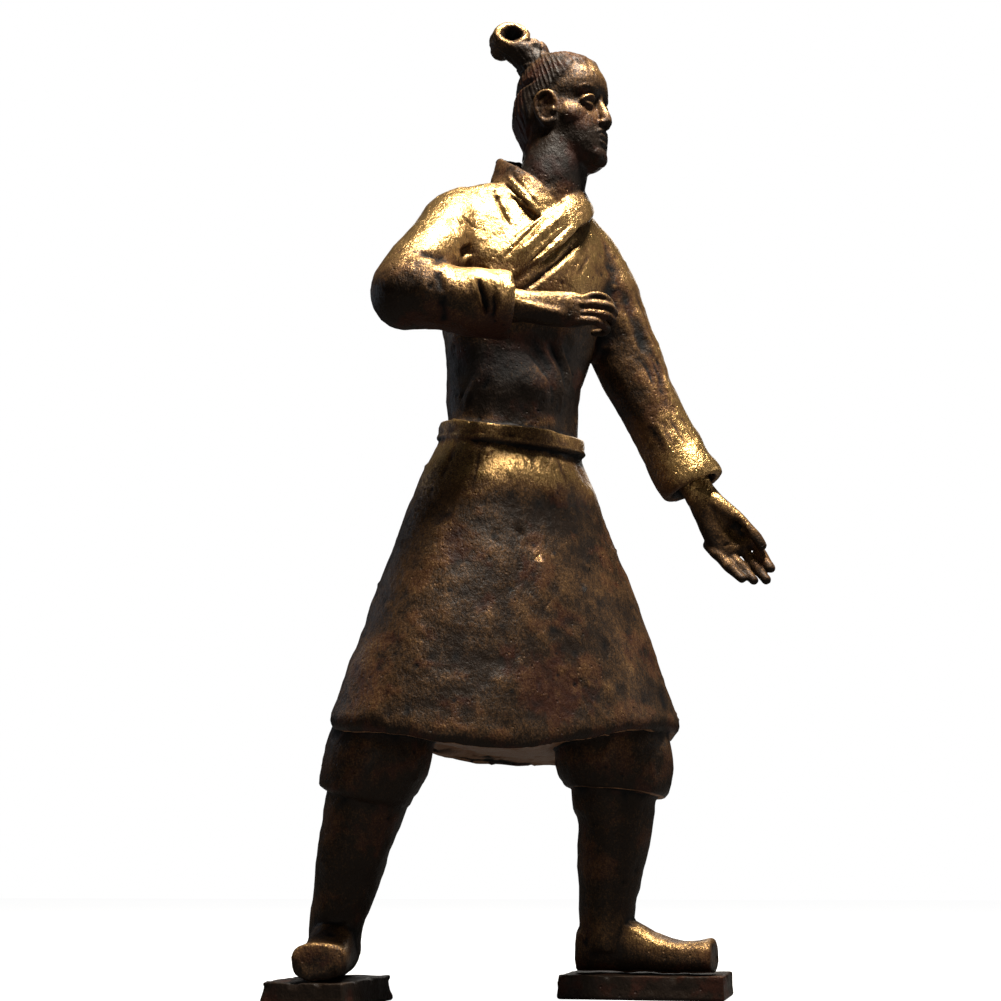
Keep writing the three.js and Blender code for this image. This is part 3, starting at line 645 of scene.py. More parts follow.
def castFigure():
    bodyMesh = bmesh.new()
    fillet(bodyMesh, upperBody, 1.1, 34)     # armpits and shoulders
    fillet(bodyMesh, neckAndJaw, 0.8, 14)
    robeForms(bodyMesh)
    limb(bodyMesh, rightArm["upper"], upperFacing, 64, (True, True))
    sleeveForm(bodyMesh, rightArm, "fore", forearmFacing)
    sleeveForm(bodyMesh, leftArm, "sleeve", sleeveFacing)
    rightHandForms(bodyMesh)
    leftHandForms(bodyMesh)
    for leg in (rightLeg, leftLeg):
        legForms(bodyMesh, leg)
    headForms(bodyMesh)
    topknotForms(bodyMesh)
    figure = asPiece(bodyMesh, "warrior")
    remesh(figure, stance["voxel"])
    print("solid forms joined:", len(figure.data.vertices), "points")
    return figure


figure = castFigure()


# The surface of the casting as arrays: where its points are, which way they face, and which are joined
def readSkin(piece):
    mesh = piece.data
    count = len(mesh.vertices)
    points = np.empty(count * 3, np.float32)
    mesh.vertices.foreach_get("co", points)
    edges = np.empty(len(mesh.edges) * 2, np.int32)
    mesh.edges.foreach_get("vertices", edges)
    skin = {"piece": piece, "points": points.reshape(-1, 3).astype(float), "edges": edges.reshape(-1, 2)}
    skin["neighbours"] = np.bincount(skin["edges"].ravel(), minlength=count).astype(float)
    skin["push"] = np.zeros(count)
    return skin


def writeSkin(skin):
    mesh = skin["piece"].data
    mesh.vertices.foreach_set("co", skin["points"].astype(np.float32).ravel())
    mesh.update()


def faceSkin(skin):
    # Normals and the search tree follow the points.
    writeSkin(skin)
    mesh = skin["piece"].data
    normals = np.empty(len(mesh.vertices) * 3, np.float32)
    mesh.vertices.foreach_get("normal", normals)
    skin["normals"] = normals.reshape(-1, 3).astype(float)
    corners = [tuple(p.vertices) for p in mesh.polygons]
    skin["tree"] = BVHTree.FromPolygons([tuple(p) for p in skin["points"]], corners)


def averageOf(skin, values):
    a, b = skin["edges"].T
    count = len(values)
    out = np.empty_like(values)
    for axis in range(values.shape[1]):
        v = values[:, axis]
        out[:, axis] = (np.bincount(a, v[b], count) + np.bincount(b, v[a], count)) / skin["neighbours"]
    return out


def soften(skin, rounds, share=0.5):
    for _ in range(rounds):
        skin["points"] += (averageOf(skin, skin["points"]) - skin["points"]) * share


def stroke(skin, form, reach, lift, *path, ends=0.3):
    # One pull or press of a round or sharp tool along a path laid on the surface.
    # The lift is in mm, pressed in where negative.
    line = []
    for spot in smoothRow([tuple(p) for p in path], 0.5) if len(path) > 1 else [path[0]]:
        found, normal, _, _ = skin["tree"].find_nearest(Vector(spot))
        line.append((*found, *normal))
    line = np.array(line)
    spots, facing = line[:, :3], line[:, 3:]
    points = skin["points"]
    low, high = spots.min(0) - reach, spots.max(0) + reach
    near = np.nonzero(((points > low) & (points < high)).all(1))[0]
    if not len(near):
        return
    local = points[near]
    squares = (local ** 2).sum(1)[:, None] - 2 * local @ spots.T + (spots ** 2).sum(1)[None]
    apart = np.sqrt(np.maximum(0, squares))
    nearest = apart.argmin(1)
    distance = apart[np.arange(len(near)), nearest]
    share = nearest / max(1, len(spots) - 1)
    fade = np.clip(np.minimum(share, 1 - share) / ends, 0, 1) if len(spots) > 1 else 1.0
    fade = fade * fade * (3 - 2 * fade)
    t = np.clip(distance / reach, 0, 1)
    height = (1 - t * t) ** 2 if form == "round" else (1 - t) ** 2
    agree = np.clip((skin["normals"][near] * facing[nearest]).sum(1) * 2, 0, 1)
    skin["push"][near] += lift * height * fade * agree


def settle(skin, rounds=1):
    # The strokes laid so far are pushed out along the surface, and it is read again.
    skin["points"] += skin["normals"] * skin["push"][:, None]
    skin["push"][:] = 0
    soften(skin, rounds, 0.4)
    faceSkin(skin)


hair = {
    "line": (   # the hairline: degrees round from the middle of the brow, height on the head
        (0, 36.6), (22, 36.2), (40, 34), (56, 31), (68, 27.4), (78, 24.4), (90, 24.6), (104, 22),
        (116, 15), (130, 8), (150, 5), (180, 5)),
    "thickness": 0.55, "edge": 2.4,
    "knot": (-6, -2, 38),       # where the strands are gathered, on the head
    "strands": 46, "depth": 0.2, "knotDepth": 0.13,
    "ties": (98, 120, 145, 180, 215, 240, 262),   # degrees round of the groove behind the head
}


def headPlaces(points):
    # Front, left and rise of each point, from the middle of the chin's level
    away = points - np.array(stance["headBase"])
    return away @ np.array(headFront), away @ np.array(headLeft), away[:, 2]


def hairCover(points):
    front, left, rise = headPlaces(points)
    angles, heights = zip(*hair["line"])
    angle = np.degrees(np.arctan2(np.abs(left), front + 1.5))
    uneven = 0.9 * np.sin(angle * 0.21 + 2) + 0.5 * np.sin(angle * 0.57)
    cover = np.clip((rise - np.interp(angle, angles, heights) + uneven) / hair["edge"] + 0.5, 0, 1)
    ear = (front / 4.4) ** 2 + ((rise - 17.8) / 6.8) ** 2 < 1
    onEar = ear & (np.abs(left) > 11.4)
    onSkull = (points[:, 2] > 258) & (np.hypot(front + 1.5, left) < 24)
    return np.where(onSkull & ~onEar, cover, 0)


def combHair(skin):
    cover = hairCover(skin["points"])
    some = np.nonzero(cover)[0]
    local = skin["points"][some]
    front, left, rise = headPlaces(local)
    knot = hair["knot"]
    f, l, u = front - knot[0], left - knot[1], rise - knot[2]
    far = np.sqrt(f * f + l * l + u * u)
    around = np.arctan2(l, f + 0.35 * u)
    wander = 0.7 * np.sin(far * 0.3 + 3 * around) + 0.4 * np.sin(far * 0.8 + 11 * around)
    # locks of uneven width with finer strands between them
    strands = hair["strands"]
    locks = np.sin(0.37 * strands * around + 1.6 * wander + 1.2 * np.sin(5 * around))
    comb = 0.5 * np.cos(strands * around + wander) + 0.35 * np.cos(1.9 * strands * around + 2 * wander + 1)
    comb = comb + 0.9 * (np.abs(locks) ** 0.6 - 0.6)
    calm = np.clip((far - 4) / 6, 0, 1) * (local[:, 2] < 296)
    skin["push"][some] += cover[some] * (hair["thickness"] + hair["depth"] * comb * calm)
    # strands of the knot run along it
    onKnot = (local[:, 2] > 291) & (far < 30) & (local[:, 0] < 13)
    twist = np.arctan2(local[:, 2] - 299.5, local[:, 1] + 4) * 9 + local[:, 0] * 0.5
    skin["push"][some] += (
        np.where(onKnot, hair["knotDepth"] * np.cos(twist), 0) - np.where(onKnot, cover[some] * hair["thickness"], 0))


def grooveBehind(skin):
    # The hair is tied in across the back of the head
    path = []
    for turn in hair["ties"]:
        c, s = math.cos(math.radians(turn)), math.sin(math.radians(turn))
        path.append(tuple(onHead(-1.5 + 15.2 * c, 13.6 * s, 29.6 + 1.2 * c)))
    stroke(skin, "sharp", 1.7, -1.2, *path, ends=0.08)


skin = readSkin(figure)
soften(skin, 3)
faceSkin(skin)
print("surface read")
combHair(skin)
grooveBehind(skin)
settle(skin, 0)
print("hair combed")

# Folds and ridges: form, reach, lift, then the path
folds = [
    # lapel and under collar
    ("sharp", 1.4, -1.2, (16.2, -20.5, 235.4), (12.4, -21.6, 230.4), (8.4, -22.5, 225), (4, -23.6, 219.4),
    (-0.2, -23.9, 214.9)),
    ("round", 2.6, 1.1, (21.3, -16.1, 235.8), (15, -20, 228.4), (8.4, -23, 220.9), (3, -24, 214)),
    ("sharp", 1.4, -1.1, (23.1, -16.4, 232), (13.6, -21.6, 220.4), (5.9, -23.4, 212)),
    ("round", 1.6, 0.5, (24.7, -15.2, 231), (15.6, -20.4, 219.6), (9, -22.4, 212.8)),
    ("sharp", 1.7, -1.4, (27.4, -11.6, 230.4), (17.1, -18.1, 216.8), (9, -21.4, 208.4), (4, -22.6, 205)),
    ("sharp", 1.3, -1.2, (2.4, -12.8, 249.4), (7.6, -18.7, 241.2), (13, -21, 234.8)),
    ("sharp", 1.2, -1.1, (0.4, -14.2, 247), (4.6, -19.6, 239), (9, -22, 231.6)),
    ("round", 1.4, 0.6, (1.2, -12, 250.4), (6, -17.6, 242.6), (12, -20.8, 236.6)),
    ("sharp", 1.5, -1.2, (-2.4, -17, 243), (0.6, -22, 234.4), (4.2, -23.6, 227)),
    ("round", 1.2, 0.5, (1, -20.6, 237.4), (3.6, -23, 230.6)),
    ("sharp", 1.0, -0.5, (12, -21.6, 228), (9, -23, 224), (7, -23.4, 221)),
    # armpit creases on the chest
    ("sharp", 1.3, -0.8, (-13.4, -28.4, 227.4), (-11, -27.8, 223), (-9.4, -26.6, 219.6)),
    ("sharp", 1.1, -0.6, (-11.6, -27, 229.4), (-8.2, -25.6, 226.6), (-5.4, -24, 225.4)),
    ("sharp", 1.2, -0.6, (-15.6, -29.4, 228.6), (-14.8, -30.2, 223.6), (-13, -30, 219.4)),
    ("round", 1.6, 0.6, (-14.4, -29, 229.4), (-12.2, -28.2, 224.4), (-10.6, -27.4, 220.6)),
    ("round", 2.2, 0.5, (28, -9.6, 229), (24, -14, 222), (20, -17, 214.6)),
    ("sharp", 1.4, -0.5, (30, -7, 226), (26.6, -12.4, 219), (23, -15, 212)),
    # bunched folds of the right sleeve
    ("round", 2.0, -0.9, (-18.6, -44.6, 203.6), (-17.6, -46, 199.6), (-17, -45.4, 195.8)),
    ("round", 2.2, -0.9, (-17.2, -45.6, 196.6), (-16.4, -42.6, 191.6), (-16.8, -38.7, 189.3)),
    ("round", 2.6, 0.6, (-22.4, -45.4, 202), (-21.4, -45.8, 197), (-20.4, -42.6, 192)),
    ("round", 4.2, 0.9, (-12.6, -44, 202.6), (-11.8, -45.3, 197.5), (-11.2, -43.3, 192.6)),
    ("sharp", 1.1, -0.5, (-14, -44.6, 201.6), (-12.6, -45.4, 198.4), (-12, -45, 195.4)),
    ("round", 1.5, 0.9, (-8.6, -43.6, 203.4), (-7.4, -45, 198.8), (-6.6, -44.2, 195)),
    ("round", 1.6, -1.3, (-7.4, -43.6, 203.2), (-5.6, -44.6, 198.6), (-4.2, -43.6, 194), (-3.2, -40.6, 190)),
    ("sharp", 1.3, -1.0, (-6.6, -44.4, 200.4), (-4.6, -44.4, 195.6), (-3.6, -42, 191)),
    ("round", 2.3, 1.1, (-2.6, -42, 203.8), (-0.6, -43.5, 199.4), (0, -42.6, 193.6), (-1.4, -38.6, 188.6)),
    ("round", 1.2, 0.5, (1.4, -41.4, 203), (2.4, -42.8, 198), (2, -41.4, 192), (0.6, -38, 188.4)),
    ("sharp", 1.3, -0.9, (-2.4, -43.8, 197.6), (-1.8, -42.8, 193.4), (-2.4, -40, 189.8)),
    ("sharp", 1.0, -0.5, (-20, -45.4, 200.6), (-19.6, -45.6, 197), (-19.6, -44, 193.6)),
    ("round", 2.2, -1.0, (-17.4, -36, 208.6), (-18.4, -40, 206.6), (-19.2, -43.6, 203.8)),
    ("round", 2.2, -0.9, (-24.8, -38.8, 211), (-21, -37, 209.2), (-17, -33.4, 209)),
    ("round", 2.6, 0.7, (-26.8, -42, 206), (-23, -42.6, 206.4), (-18.8, -41.4, 207)),
    ("round", 4.5, -1.6, (-11.4, -28, 219), (-8.6, -26, 214.6)),
    # palm of the left hand, and the edge of the right one
    ("round", 4.6, -1.7, (70.6, 6.4, 142), (73.8, 6.4, 138), (76, 6.4, 135)),
    ("sharp", 0.9, -0.7, (76.4, 5.4, 137.4), (79.6, 4.4, 132.6)),
    ("sharp", 0.8, -0.5, (68.6, 6, 133.4), (72, 6, 134.6)),
    ("round", 2.4, 1.0, (3.4, -38.4, 197.2), (12, -34.6, 195.6), (20.6, -32.8, 194.2)),
    ("sharp", 0.8, -0.4, (22, -32.4, 200.4), (23.6, -32, 199.6)),
    # back of the right forearm and the elbow
    ("round", 2.0, -1.0, (-6, -27, 204), (-6.4, -25, 199), (-6, -27, 193)),
    ("round", 2.2, 0.8, (-10, -27, 204.6), (-10.4, -25.4, 199), (-10, -27, 192.6)),
    ("round", 2.0, -0.9, (-14.6, -27.4, 205), (-15, -26, 199.4), (-15, -28, 192.6)),
    ("sharp", 1.8, -0.7, (-33, -30, 205), (-29, -25.4, 202), (-24, -25.4, 198)),
    ("sharp", 1.8, -0.6, (-33, -26, 212), (-28, -21, 209), (-23, -19.4, 206)),
    # left sleeve: long soft folds that run down the arm, and cross creases at the elbow
    ("round", 2.6, -0.8, (36, 3.4, 222), (43, 4.2, 205), (50, 3.6, 187), (55, 2.6, 172)),
    ("round", 2.4, 0.7, (40.4, 3.8, 224), (47.6, 5, 206), (54.4, 4.4, 189), (59.6, 3.4, 174)),
    ("sharp", 1.5, -0.6, (45, 6.6, 216), (50.2, 5.8, 203), (56.4, 4.8, 188)),
    ("sharp", 1.3, -0.7, (47.6, 4.2, 199), (51.4, 3.6, 194.6), (53.4, 3.6, 188)),
    ("sharp", 1.2, -0.6, (43, 3.8, 195.6), (46.8, 3.4, 189.6), (48.4, 3.2, 183)),
    ("round", 1.6, 0.5, (45, 3.6, 198), (48.8, 3.2, 191), (51, 3, 183.6)),
    ("sharp", 1.4, -0.6, (52, 2.6, 176), (56.6, 2, 168.4), (60, 1.6, 162)),
    ("sharp", 1.1, -0.5, (57.6, 3, 178), (61.4, 2.8, 171), (64, 3, 165)),
    ("round", 1.8, 0.5, (47, 2.8, 174), (51.4, 1.6, 166), (54.6, 0.8, 158.6)),
    ("sharp", 1.6, -0.6, (34, 22, 214), (40, 24, 200), (47, 23, 186)),
    ("round", 2.4, 0.7, (30, 20, 216), (36, 23.6, 203), (42, 23.6, 190)),
    ("sharp", 1.4, -0.6, (44, 22.6, 180), (50.6, 21, 172), (56, 19, 164)),
    # folds of the wrapped front below the forearm
    ("round", 1.9, 0.8, (10.6, -16.4, 195), (15.6, -12.6, 186.4), (18.4, -10.4, 176), (18.4, -10.6, 169)),
    ("sharp", 1.4, -0.9, (14, -14, 194.6), (18.2, -10.2, 186.4), (20, -8.8, 177)),
    ("round", 1.5, 0.6, (17, -11.4, 194), (20.4, -8.4, 186), (21.6, -7.2, 178)),
    ("sharp", 1.2, -0.7, (7, -17.6, 190), (12.4, -14.6, 184), (15.4, -13, 176.4), (15.6, -13, 170)),
    ("round", 1.2, 0.5, (-4.6, -18.2, 183.4), (-8, -16.8, 177.6), (-11.4, -14.6, 171)),
    ("sharp", 1.1, -0.6, (-6.6, -17.6, 184.4), (-10.2, -15.4, 178), (-13, -13.4, 172)),
    ("sharp", 1.1, -0.5, (-2.6, -18.6, 181), (-5.6, -17.6, 175.6)),
    # back of the robe: blades, spine and pulled cloth above the belt
    ("round", 9, 1.2, (-6, 10, 228), (-3, 14, 214)),
    ("round", 9, 1.2, (20, 14, 230), (17, 18, 215)),
    ("sharp", 2.4, -1.0, (-4, 15, 196), (1, 17, 187), (4, 17.6, 178), (3, 17.6, 172)),
    ("sharp", 2.0, -0.9, (20, 13, 196), (16, 16, 188), (12, 17, 180), (11, 17, 172)),
    ("round", 2.4, 0.8, (-8, 13, 192), (-4, 15.6, 184), (-3, 16.4, 174)),
    ("round", 2.6, 0.9, (24, 9, 196), (20, 13, 186), (17, 14.6, 175)),
    ("sharp", 2.0, -0.8, (-14, 5, 190), (-12, 9, 182), (-9, 12.4, 173)),
    ("sharp", 1.6, -0.7, (26, 3, 190), (24, 7, 181), (21, 10, 173)),
    # pleats under the belt
    ("sharp", 1.4, -0.5, (-12, -15, 160), (-14, -17.4, 152), (-17, -19, 143)),
    ("sharp", 1.3, -0.5, (-5.6, -19, 158), (-6.6, -21.6, 150), (-8, -23, 142)),
    ("sharp", 1.2, -0.4, (9, -19.4, 157), (10.4, -21.6, 152), (11, -22.4, 147)),
    ("sharp", 1.2, -0.4, (16, -14.4, 158), (18.6, -15.8, 152), (20, -16.4, 146)),
    ("round", 1.8, 0.5, (3, -20.6, 156), (3.6, -23, 150), (4, -24, 144)),
    ("sharp", 1.6, -0.6, (14, 17, 160), (17, 20, 150), (20, 22, 138)),
    ("sharp", 1.6, -0.6, (-2, 18, 160), (-4, 21, 150), (-7, 24, 138)),
    ("round", 3.5, 0.8, (5, 18, 158), (6, 22, 146), (7, 26, 130), (8, 29, 112)),
    ("round", 6, -1.2, (-22, 13, 140), (-29, 16, 115), (-36, 19, 90)),
    ("round", 6, -1.0, (24, 15, 140), (32, 20, 115), (40, 24, 90)),
]
for fold in folds:
    stroke(skin, *fold)
settle(skin)
print("folds pressed in:", len(folds))


handwork = {
    "lumps": (      # mm high, size, seed, squash in height
        (0.42, 13, 3, 1.25), (0.30, 6.1, 5, 1), (0.17, 3.1, 8, 1), (0.07, 1.6, 9, 1)),
    "scraps": (170, 21, (0.8, 1.7), 0.3, 0),        # how many, seed, sizes in mm, lift for each mm, rim
    "pits": (180, 22, (0.7, 1.4), -0.36, 0.12),
    "below": 250,                                   # scraps and pits stay below the head
    "faceLines": [
        ("sharp", 0.9, -0.45, (11.4, 2.6, 22.2), (12.4, 4.2, 23.7), (12, 6, 23.7), (10.6, 8.2, 22.4)),
        ("sharp", 0.7, -0.35, (11, 2.3, 20.6), (12.2, 4.8, 20.9), (10.4, 7.9, 20.5)),
        ("round", 2.2, -0.25, (11.4, 3, 18.4), (11.4, 4.6, 17.8), (10.6, 7, 18))],
}


def waves(points, size, seed):
    # Smooth seeded unevenness between -1 and 1, one lump to each size in mm
    grid = np.random.default_rng(seed).uniform(-1, 1, (24, 24, 24))
    place = points / size
    cell = np.floor(place).astype(int)
    t = place - cell
    t = t * t * (3 - 2 * t)
    out = np.zeros(len(points))
    for corner in np.ndindex(2, 2, 2):
        x, y, z = ((cell[:, axis] + step) % 24 for axis, step in enumerate(corner))
        near = [t[:, axis] if step else 1 - t[:, axis] for axis, step in enumerate(corner)]
        out += near[0] * near[1] * near[2] * grid[x, y, z]
    return out


def bellOf(points, middle, reach):
    return np.exp(-((points - np.array(middle)) ** 2).sum(1) / reach ** 2)


def calmOf(points):
    # Less of the unevenness on the face and the hands
    front, left, rise = headPlaces(points)
    onFace = np.clip(1.3 - np.sqrt((front - 9) ** 2 + left ** 2 + (rise - 15) ** 2) / 17, 0, 1)
    onHands = np.maximum(bellOf(points, (20, -31, 197), 15), bellOf(points, (73, 8, 136), 15))
    return 1 - 0.85 * np.maximum(onFace, onHands)


def workByHand(skin):
    # The soft unevenness that hands and brush leave
    points = skin["points"]
    lumps = sum(lift * waves(points * (1, 1, tall), size, seed) for lift, size, seed, tall in handwork["lumps"])
    skin["push"] += calmOf(points) * lumps


def scatter(skin, count, seed, sizes, lift, rim):
    # Small scraps of clay, or pits with a raised rim where the lift is negative
    chance = np.random.default_rng(seed)
    points = skin["points"]
    calm = calmOf(points) * (points[:, 2] < handwork["below"])
    for spot in points[chance.choice(len(points), count, replace=False)]:
        reach = chance.uniform(*sizes)
        near = np.nonzero((np.abs(points - spot) < 2 * reach).all(1))[0]
        away = np.sqrt(((points[near] - spot) ** 2).sum(1)) / reach
        shape = np.exp(-2.5 * away ** 2) - rim * np.exp(-8 * (away - 1.1) ** 2)
        skin["push"][near] += lift * reach * calm[near] * shape


scatter(skin, *handwork["scraps"])
scatter(skin, *handwork["pits"])
for hand in (-1, 1):   # the creases of the eyelids
    for form, reach, lift, *path in handwork["faceLines"]:
        stroke(skin, form, reach, lift, *(onHead(f, hand * l, u) for f, l, u in path))
workByHand(skin)
settle(skin, 0)
print("surface worked")


# Back to one mesh light enough to keep, in metres on the plinths
finish = {
    "keep": [   # middle, reach, how much denser: the head, the two hands and the collar
        ((18, -2, 275), 27, 1.0), ((24, -30, 197), 13, 0.8), ((74, 8, 134), 17, 0.8), ((6, -20, 230), 24, 0.35)],
    "favour": 2.0,
    "reach": (2, 9, 30),           # rounds of softening that raised and sunken places are measured against
    "raised": (0.2, 0.5, 1.2),     # mm of height that counts as fully raised, for each reach
}


def thinFigure(skin):
    writeSkin(skin)
    piece = skin["piece"]
    triangles = sum(len(p.vertices) - 2 for p in piece.data.polygons)
    group = piece.vertex_groups.new(name="keep")
    points = skin["points"]
    for middle, reach, weight in finish["keep"]:
        near = np.nonzero(((points - np.array(middle)) ** 2).sum(1) < reach * reach)[0]
        group.add(near.tolist(), weight, "REPLACE")
    thin(piece, stance["triangles"] / triangles,
         vertex_group="keep", vertex_group_factor=finish["favour"], invert_vertex_group=True)


# How much gold each place has, more of it higher up, with painted highlights and painted shade laid in, and the
# places of painted shade
giltAndPaintedLight = {
    "hairDarker": 0.34,
    "byHeight": (   # mm from the floor, how much gold
        (0, 0.06), (30, 0.0), (62, -0.06), (72, -0.04), (85, 0.0), (135, 0.0), (148, 0.2), (158, 0.34),
        (170, 0.34), (176, 0.15), (190, 0.2), (206, 0.42), (246, 0.55), (252, 0.35), (300, 0.4)),
    # many places are painted highlights, such as the chest, the top of the skirt, a strip down the front of the left
    # sleeve and the right cuff, and many are painted shade, such as the neck, the front under the forearm and the
    # right side of the skirt
    "places": [     # a place, its reach across and in height, how much more or less gold
        ((24, -24, 118), 14, 14, 0.2), ((8, -30, 104), 12, 8, 0.16), ((26, -22, 88), 14, 6, 0.18),
        ((36, -14, 100), 8, 20, 0.14), ((-30, -10, 110), 26, 40, -0.1), ((48, 2, 196), 8, 20, -0.2),
        ((28, -8, 262), 14, 9, -0.3), ((34, -10, 276), 10, 10, 0.12), ((-2, -24, 226), 16, 12, 0.45),
        ((16, -20, 226), 14, 12, 0.4), ((6, -26, 152), 14, 7, 0.4), ((4, -14, 180), 24, 12, -0.5),
        ((52, 2, 190), 7, 12, 0.25), ((60, 2, 170), 8, 14, 0.45), ((66, 4, 155), 8, 10, 0.4),
        ((38, 4, 216), 11, 14, -0.2), ((72, 8, 138), 12, 16, 0.5), ((-38, -34, 199), 15, 13, -0.3),
        ((14, -32, 197), 18, 8, 0.22), ((44, 0, 16), 12, 6, 0.1), ((36, 6, 18), 10, 5, 0.25),
        ((12, 12, 276), 13, 26, -0.45), ((17, -5, 252), 15, 8, -0.75), ((2, -6, 300), 12, 10, 0.4),
        ((-38, -18, 220), 15, 16, -0.4), ((-26, -42, 204), 13, 8, -0.3), ((-6, -44, 201), 9, 9, 0.2)],
    "paintedShade": [      # painted shade: under the jaw, on the front under the forearm, behind the head, below the right elbow and over the right leg under the hem
        ((17, -5, 251), 15, 8, 1.0), ((4, -18, 184), 24, 9, 0.9), ((-24, -2, 264), 8, 8, 0.3),
        ((8, 8, 264), 12, 12, 0.6), ((-34, -8, 76), 22, 10, 0.6), ((-42, -30, 192), 20, 7, 0.4)],
}


def nearness(points, place, reach, tall):
    x, y, z = place
    across = (points[:, 0] - x) ** 2 + (points[:, 1] - y) ** 2
    return np.exp(-(across / reach ** 2 + (points[:, 2] - z) ** 2 / tall ** 2))


# the gold amount, with its painted highlights and painted shade
def giltAndLightOf(points):
    heights, amounts = zip(*giltAndPaintedLight["byHeight"])
    giltAndLight = np.interp(points[:, 2], heights, amounts)
    for place, reach, tall, more in giltAndPaintedLight["places"]:
        giltAndLight += more * nearness(points, place, reach, tall)
    giltAndLight -= giltAndPaintedLight["hairDarker"] * hairCover(points)
    return np.clip(giltAndLight, 0, 1)


def markRelief(piece):
    # How far each point stands above or below its softened surroundings, with the painted shade and the gold amount
    # with its painted highlights and shade, kept as attributes for the finish
    light = readSkin(piece)
    faceSkin(light)
    start = light["points"].copy()
    normals = light["normals"]
    raised = np.zeros(len(start))
    sunkenAndShade = np.zeros(len(start))
    done = 0
    for reach, height in zip(finish["reach"], finish["raised"]):
        soften(light, reach - done, 0.6)
        done = reach
        above = np.einsum("ij,ij->i", start - light["points"], normals) / height
        raised = np.maximum(raised, np.clip(above, 0, 1))
        sunkenAndShade = np.maximum(sunkenAndShade, np.clip(-above, 0, 1))
    # painted shade is laid over the sunken places
    for place, reach, tall, amount in giltAndPaintedLight["paintedShade"]:
        sunkenAndShade = np.maximum(sunkenAndShade, amount * nearness(start, place, reach, tall))
    for name, values in (("raised", raised), ("sunkenAndShade", sunkenAndShade), ("giltAndLight", giltAndLightOf(start))):
        attribute = piece.data.attributes.new(name, "FLOAT", "POINT")
        attribute.data.foreach_set("value", values.astype(np.float32))


def putInPlace(piece, toPlace):
    piece.data.transform(toPlace)
    smoothFaces(piece)
    print(piece.name, "placed:", len(piece.data.vertices), "points,", len(piece.data.polygons), "faces")


thinFigure(skin)
markRelief(figure)
putInPlace(figure, toObject)


# The two foot plinths, their edges knocked and rubbed
plinths = {
    "left_foot_plinth": {
        "turn": 0, "long": 48, "wide": 28.4, "tall": 7, "round": 0.7,
        "knocks": [     # reach, depth, then where the edge was knocked
            (3.2, -1.1, (24, -10, 7)), (2.4, -0.8, (24, -4, 6.6), (24, 2, 7)), (2.2, -0.9, (-24, -14, 7)),
            (1.6, -0.7, (-9, -14.2, 7)), (2.6, -0.6, (8, -14.2, 7), (12, -14.2, 6.8)), (2.4, -0.9, (-24, 9, 6.8)),
            (2, -0.8, (2, 14.2, 7))]},
    "right_foot_plinth": {
        "turn": -2.5, "long": 23.8, "wide": 40, "tall": 7, "round": 0.7,
        "knocks": [
            (5, -1.7, (11.9, 20, 6)), (4, -1.4, (-11.9, -20, 6.4)), (2.2, -0.8, (11.9, 4, 7)),
            (2, -0.7, (11.9, -9, 7)), (2.4, -0.7, (-2, -20, 7)), (1.6, -0.8, (5, -20, 7)),
            (2.6, -0.9, (-11.9, 8, 7))]},
}


def plinthPiece(node, spec):
    block = bmesh.new()
    bmesh.ops.create_cube(block, size=1)
    bmesh.ops.scale(block, vec=(spec["long"], spec["wide"], spec["tall"]), verts=block.verts)
    bmesh.ops.translate(block, vec=(0, 0, spec["tall"] / 2), verts=block.verts)
    bmesh.ops.bevel(block, geom=block.edges[:], offset=spec["round"], segments=3, profile=0.5,
                    affect="EDGES", material=-1)
    piece = asPiece(block, node + "_cast")
    remesh(piece, 0.35)
    skin = readSkin(piece)
    faceSkin(skin)
    for knock in spec["knocks"]:
        stroke(skin, "round", *knock, ends=0.4)
    height = skin["points"][:, 2]
    top = np.clip(height / 2 - 0.5, 0, 1)      # uneven on top, straight at the floor
    apart = skin["points"] + 40
    skin["push"] += top * (0.22 * waves(apart, 5.2, 31) + 0.12 * waves(apart, 2.4, 32) - 0.25)
    skin["push"] *= np.clip(height * 2, 0, 1)
    settle(skin, 1)
    thin(piece, 0.16)
    markRelief(piece)
    middle = middleOf(node)
    putInPlace(piece, placing(middle.x, middle.y, spec["turn"]))
    return piece


plinthPieces = {node: plinthPiece(node, spec) for node, spec in plinths.items()}


# Materials
def feed(tree, socket, value):
    if isinstance(value, bpy.types.NodeSocket):
        tree.links.new(value, socket)
    else:
        socket.default_value = value


def add(tree, kind, inputs=None, **settings):
    made = tree.nodes.new(kind)
    for key, value in settings.items():
        setattr(made, key, value)
    for key, value in (inputs or {}).items():
        feed(tree, made.inputs[key], value)
    return made


def scaled(tree, source, size):
    # Object coordinates in millimetres, stretched by size
    return add(tree, "ShaderNodeMapping", {"Vector": source, "Scale": [1000 / v for v in size]}).outputs[0]


def noiseOf(tree, source, size, detail=3, rough=0.55):
    inputs = {"Vector": scaled(tree, source, size), "Scale": 1, "Detail": detail, "Roughness": rough}
    return add(tree, "ShaderNodeTexNoise", inputs).outputs["Fac"]


def attributeOf(tree, name):
    return add(tree, "ShaderNodeAttribute", attribute_name=name).outputs["Fac"]


def heightOf(tree, vector):
    return add(tree, "ShaderNodeSeparateXYZ", {"Vector": vector}).outputs["Z"]


def sums(tree, operation, first, *others):
    # The values one after another, such as a + b + c
    for other in others:
        first = add(tree, "ShaderNodeMath", {0: first, 1: other}, operation=operation).outputs[0]
    return first


def between(tree, value, low, high, start=0.0, end=1.0):
    inputs = {"Value": value, "From Min": low, "From Max": high, "To Min": start, "To Max": end}
    return add(tree, "ShaderNodeMapRange", inputs, interpolation_type="SMOOTHSTEP").outputs[0]


def mixed(tree, share, a, b):
    node = add(tree, "ShaderNodeMix", data_type="RGBA", clamp_factor=True)
    for number, value in ((0, share), (6, a), (7, b)):
        feed(tree, node.inputs[number], value)
    return node.outputs[2]


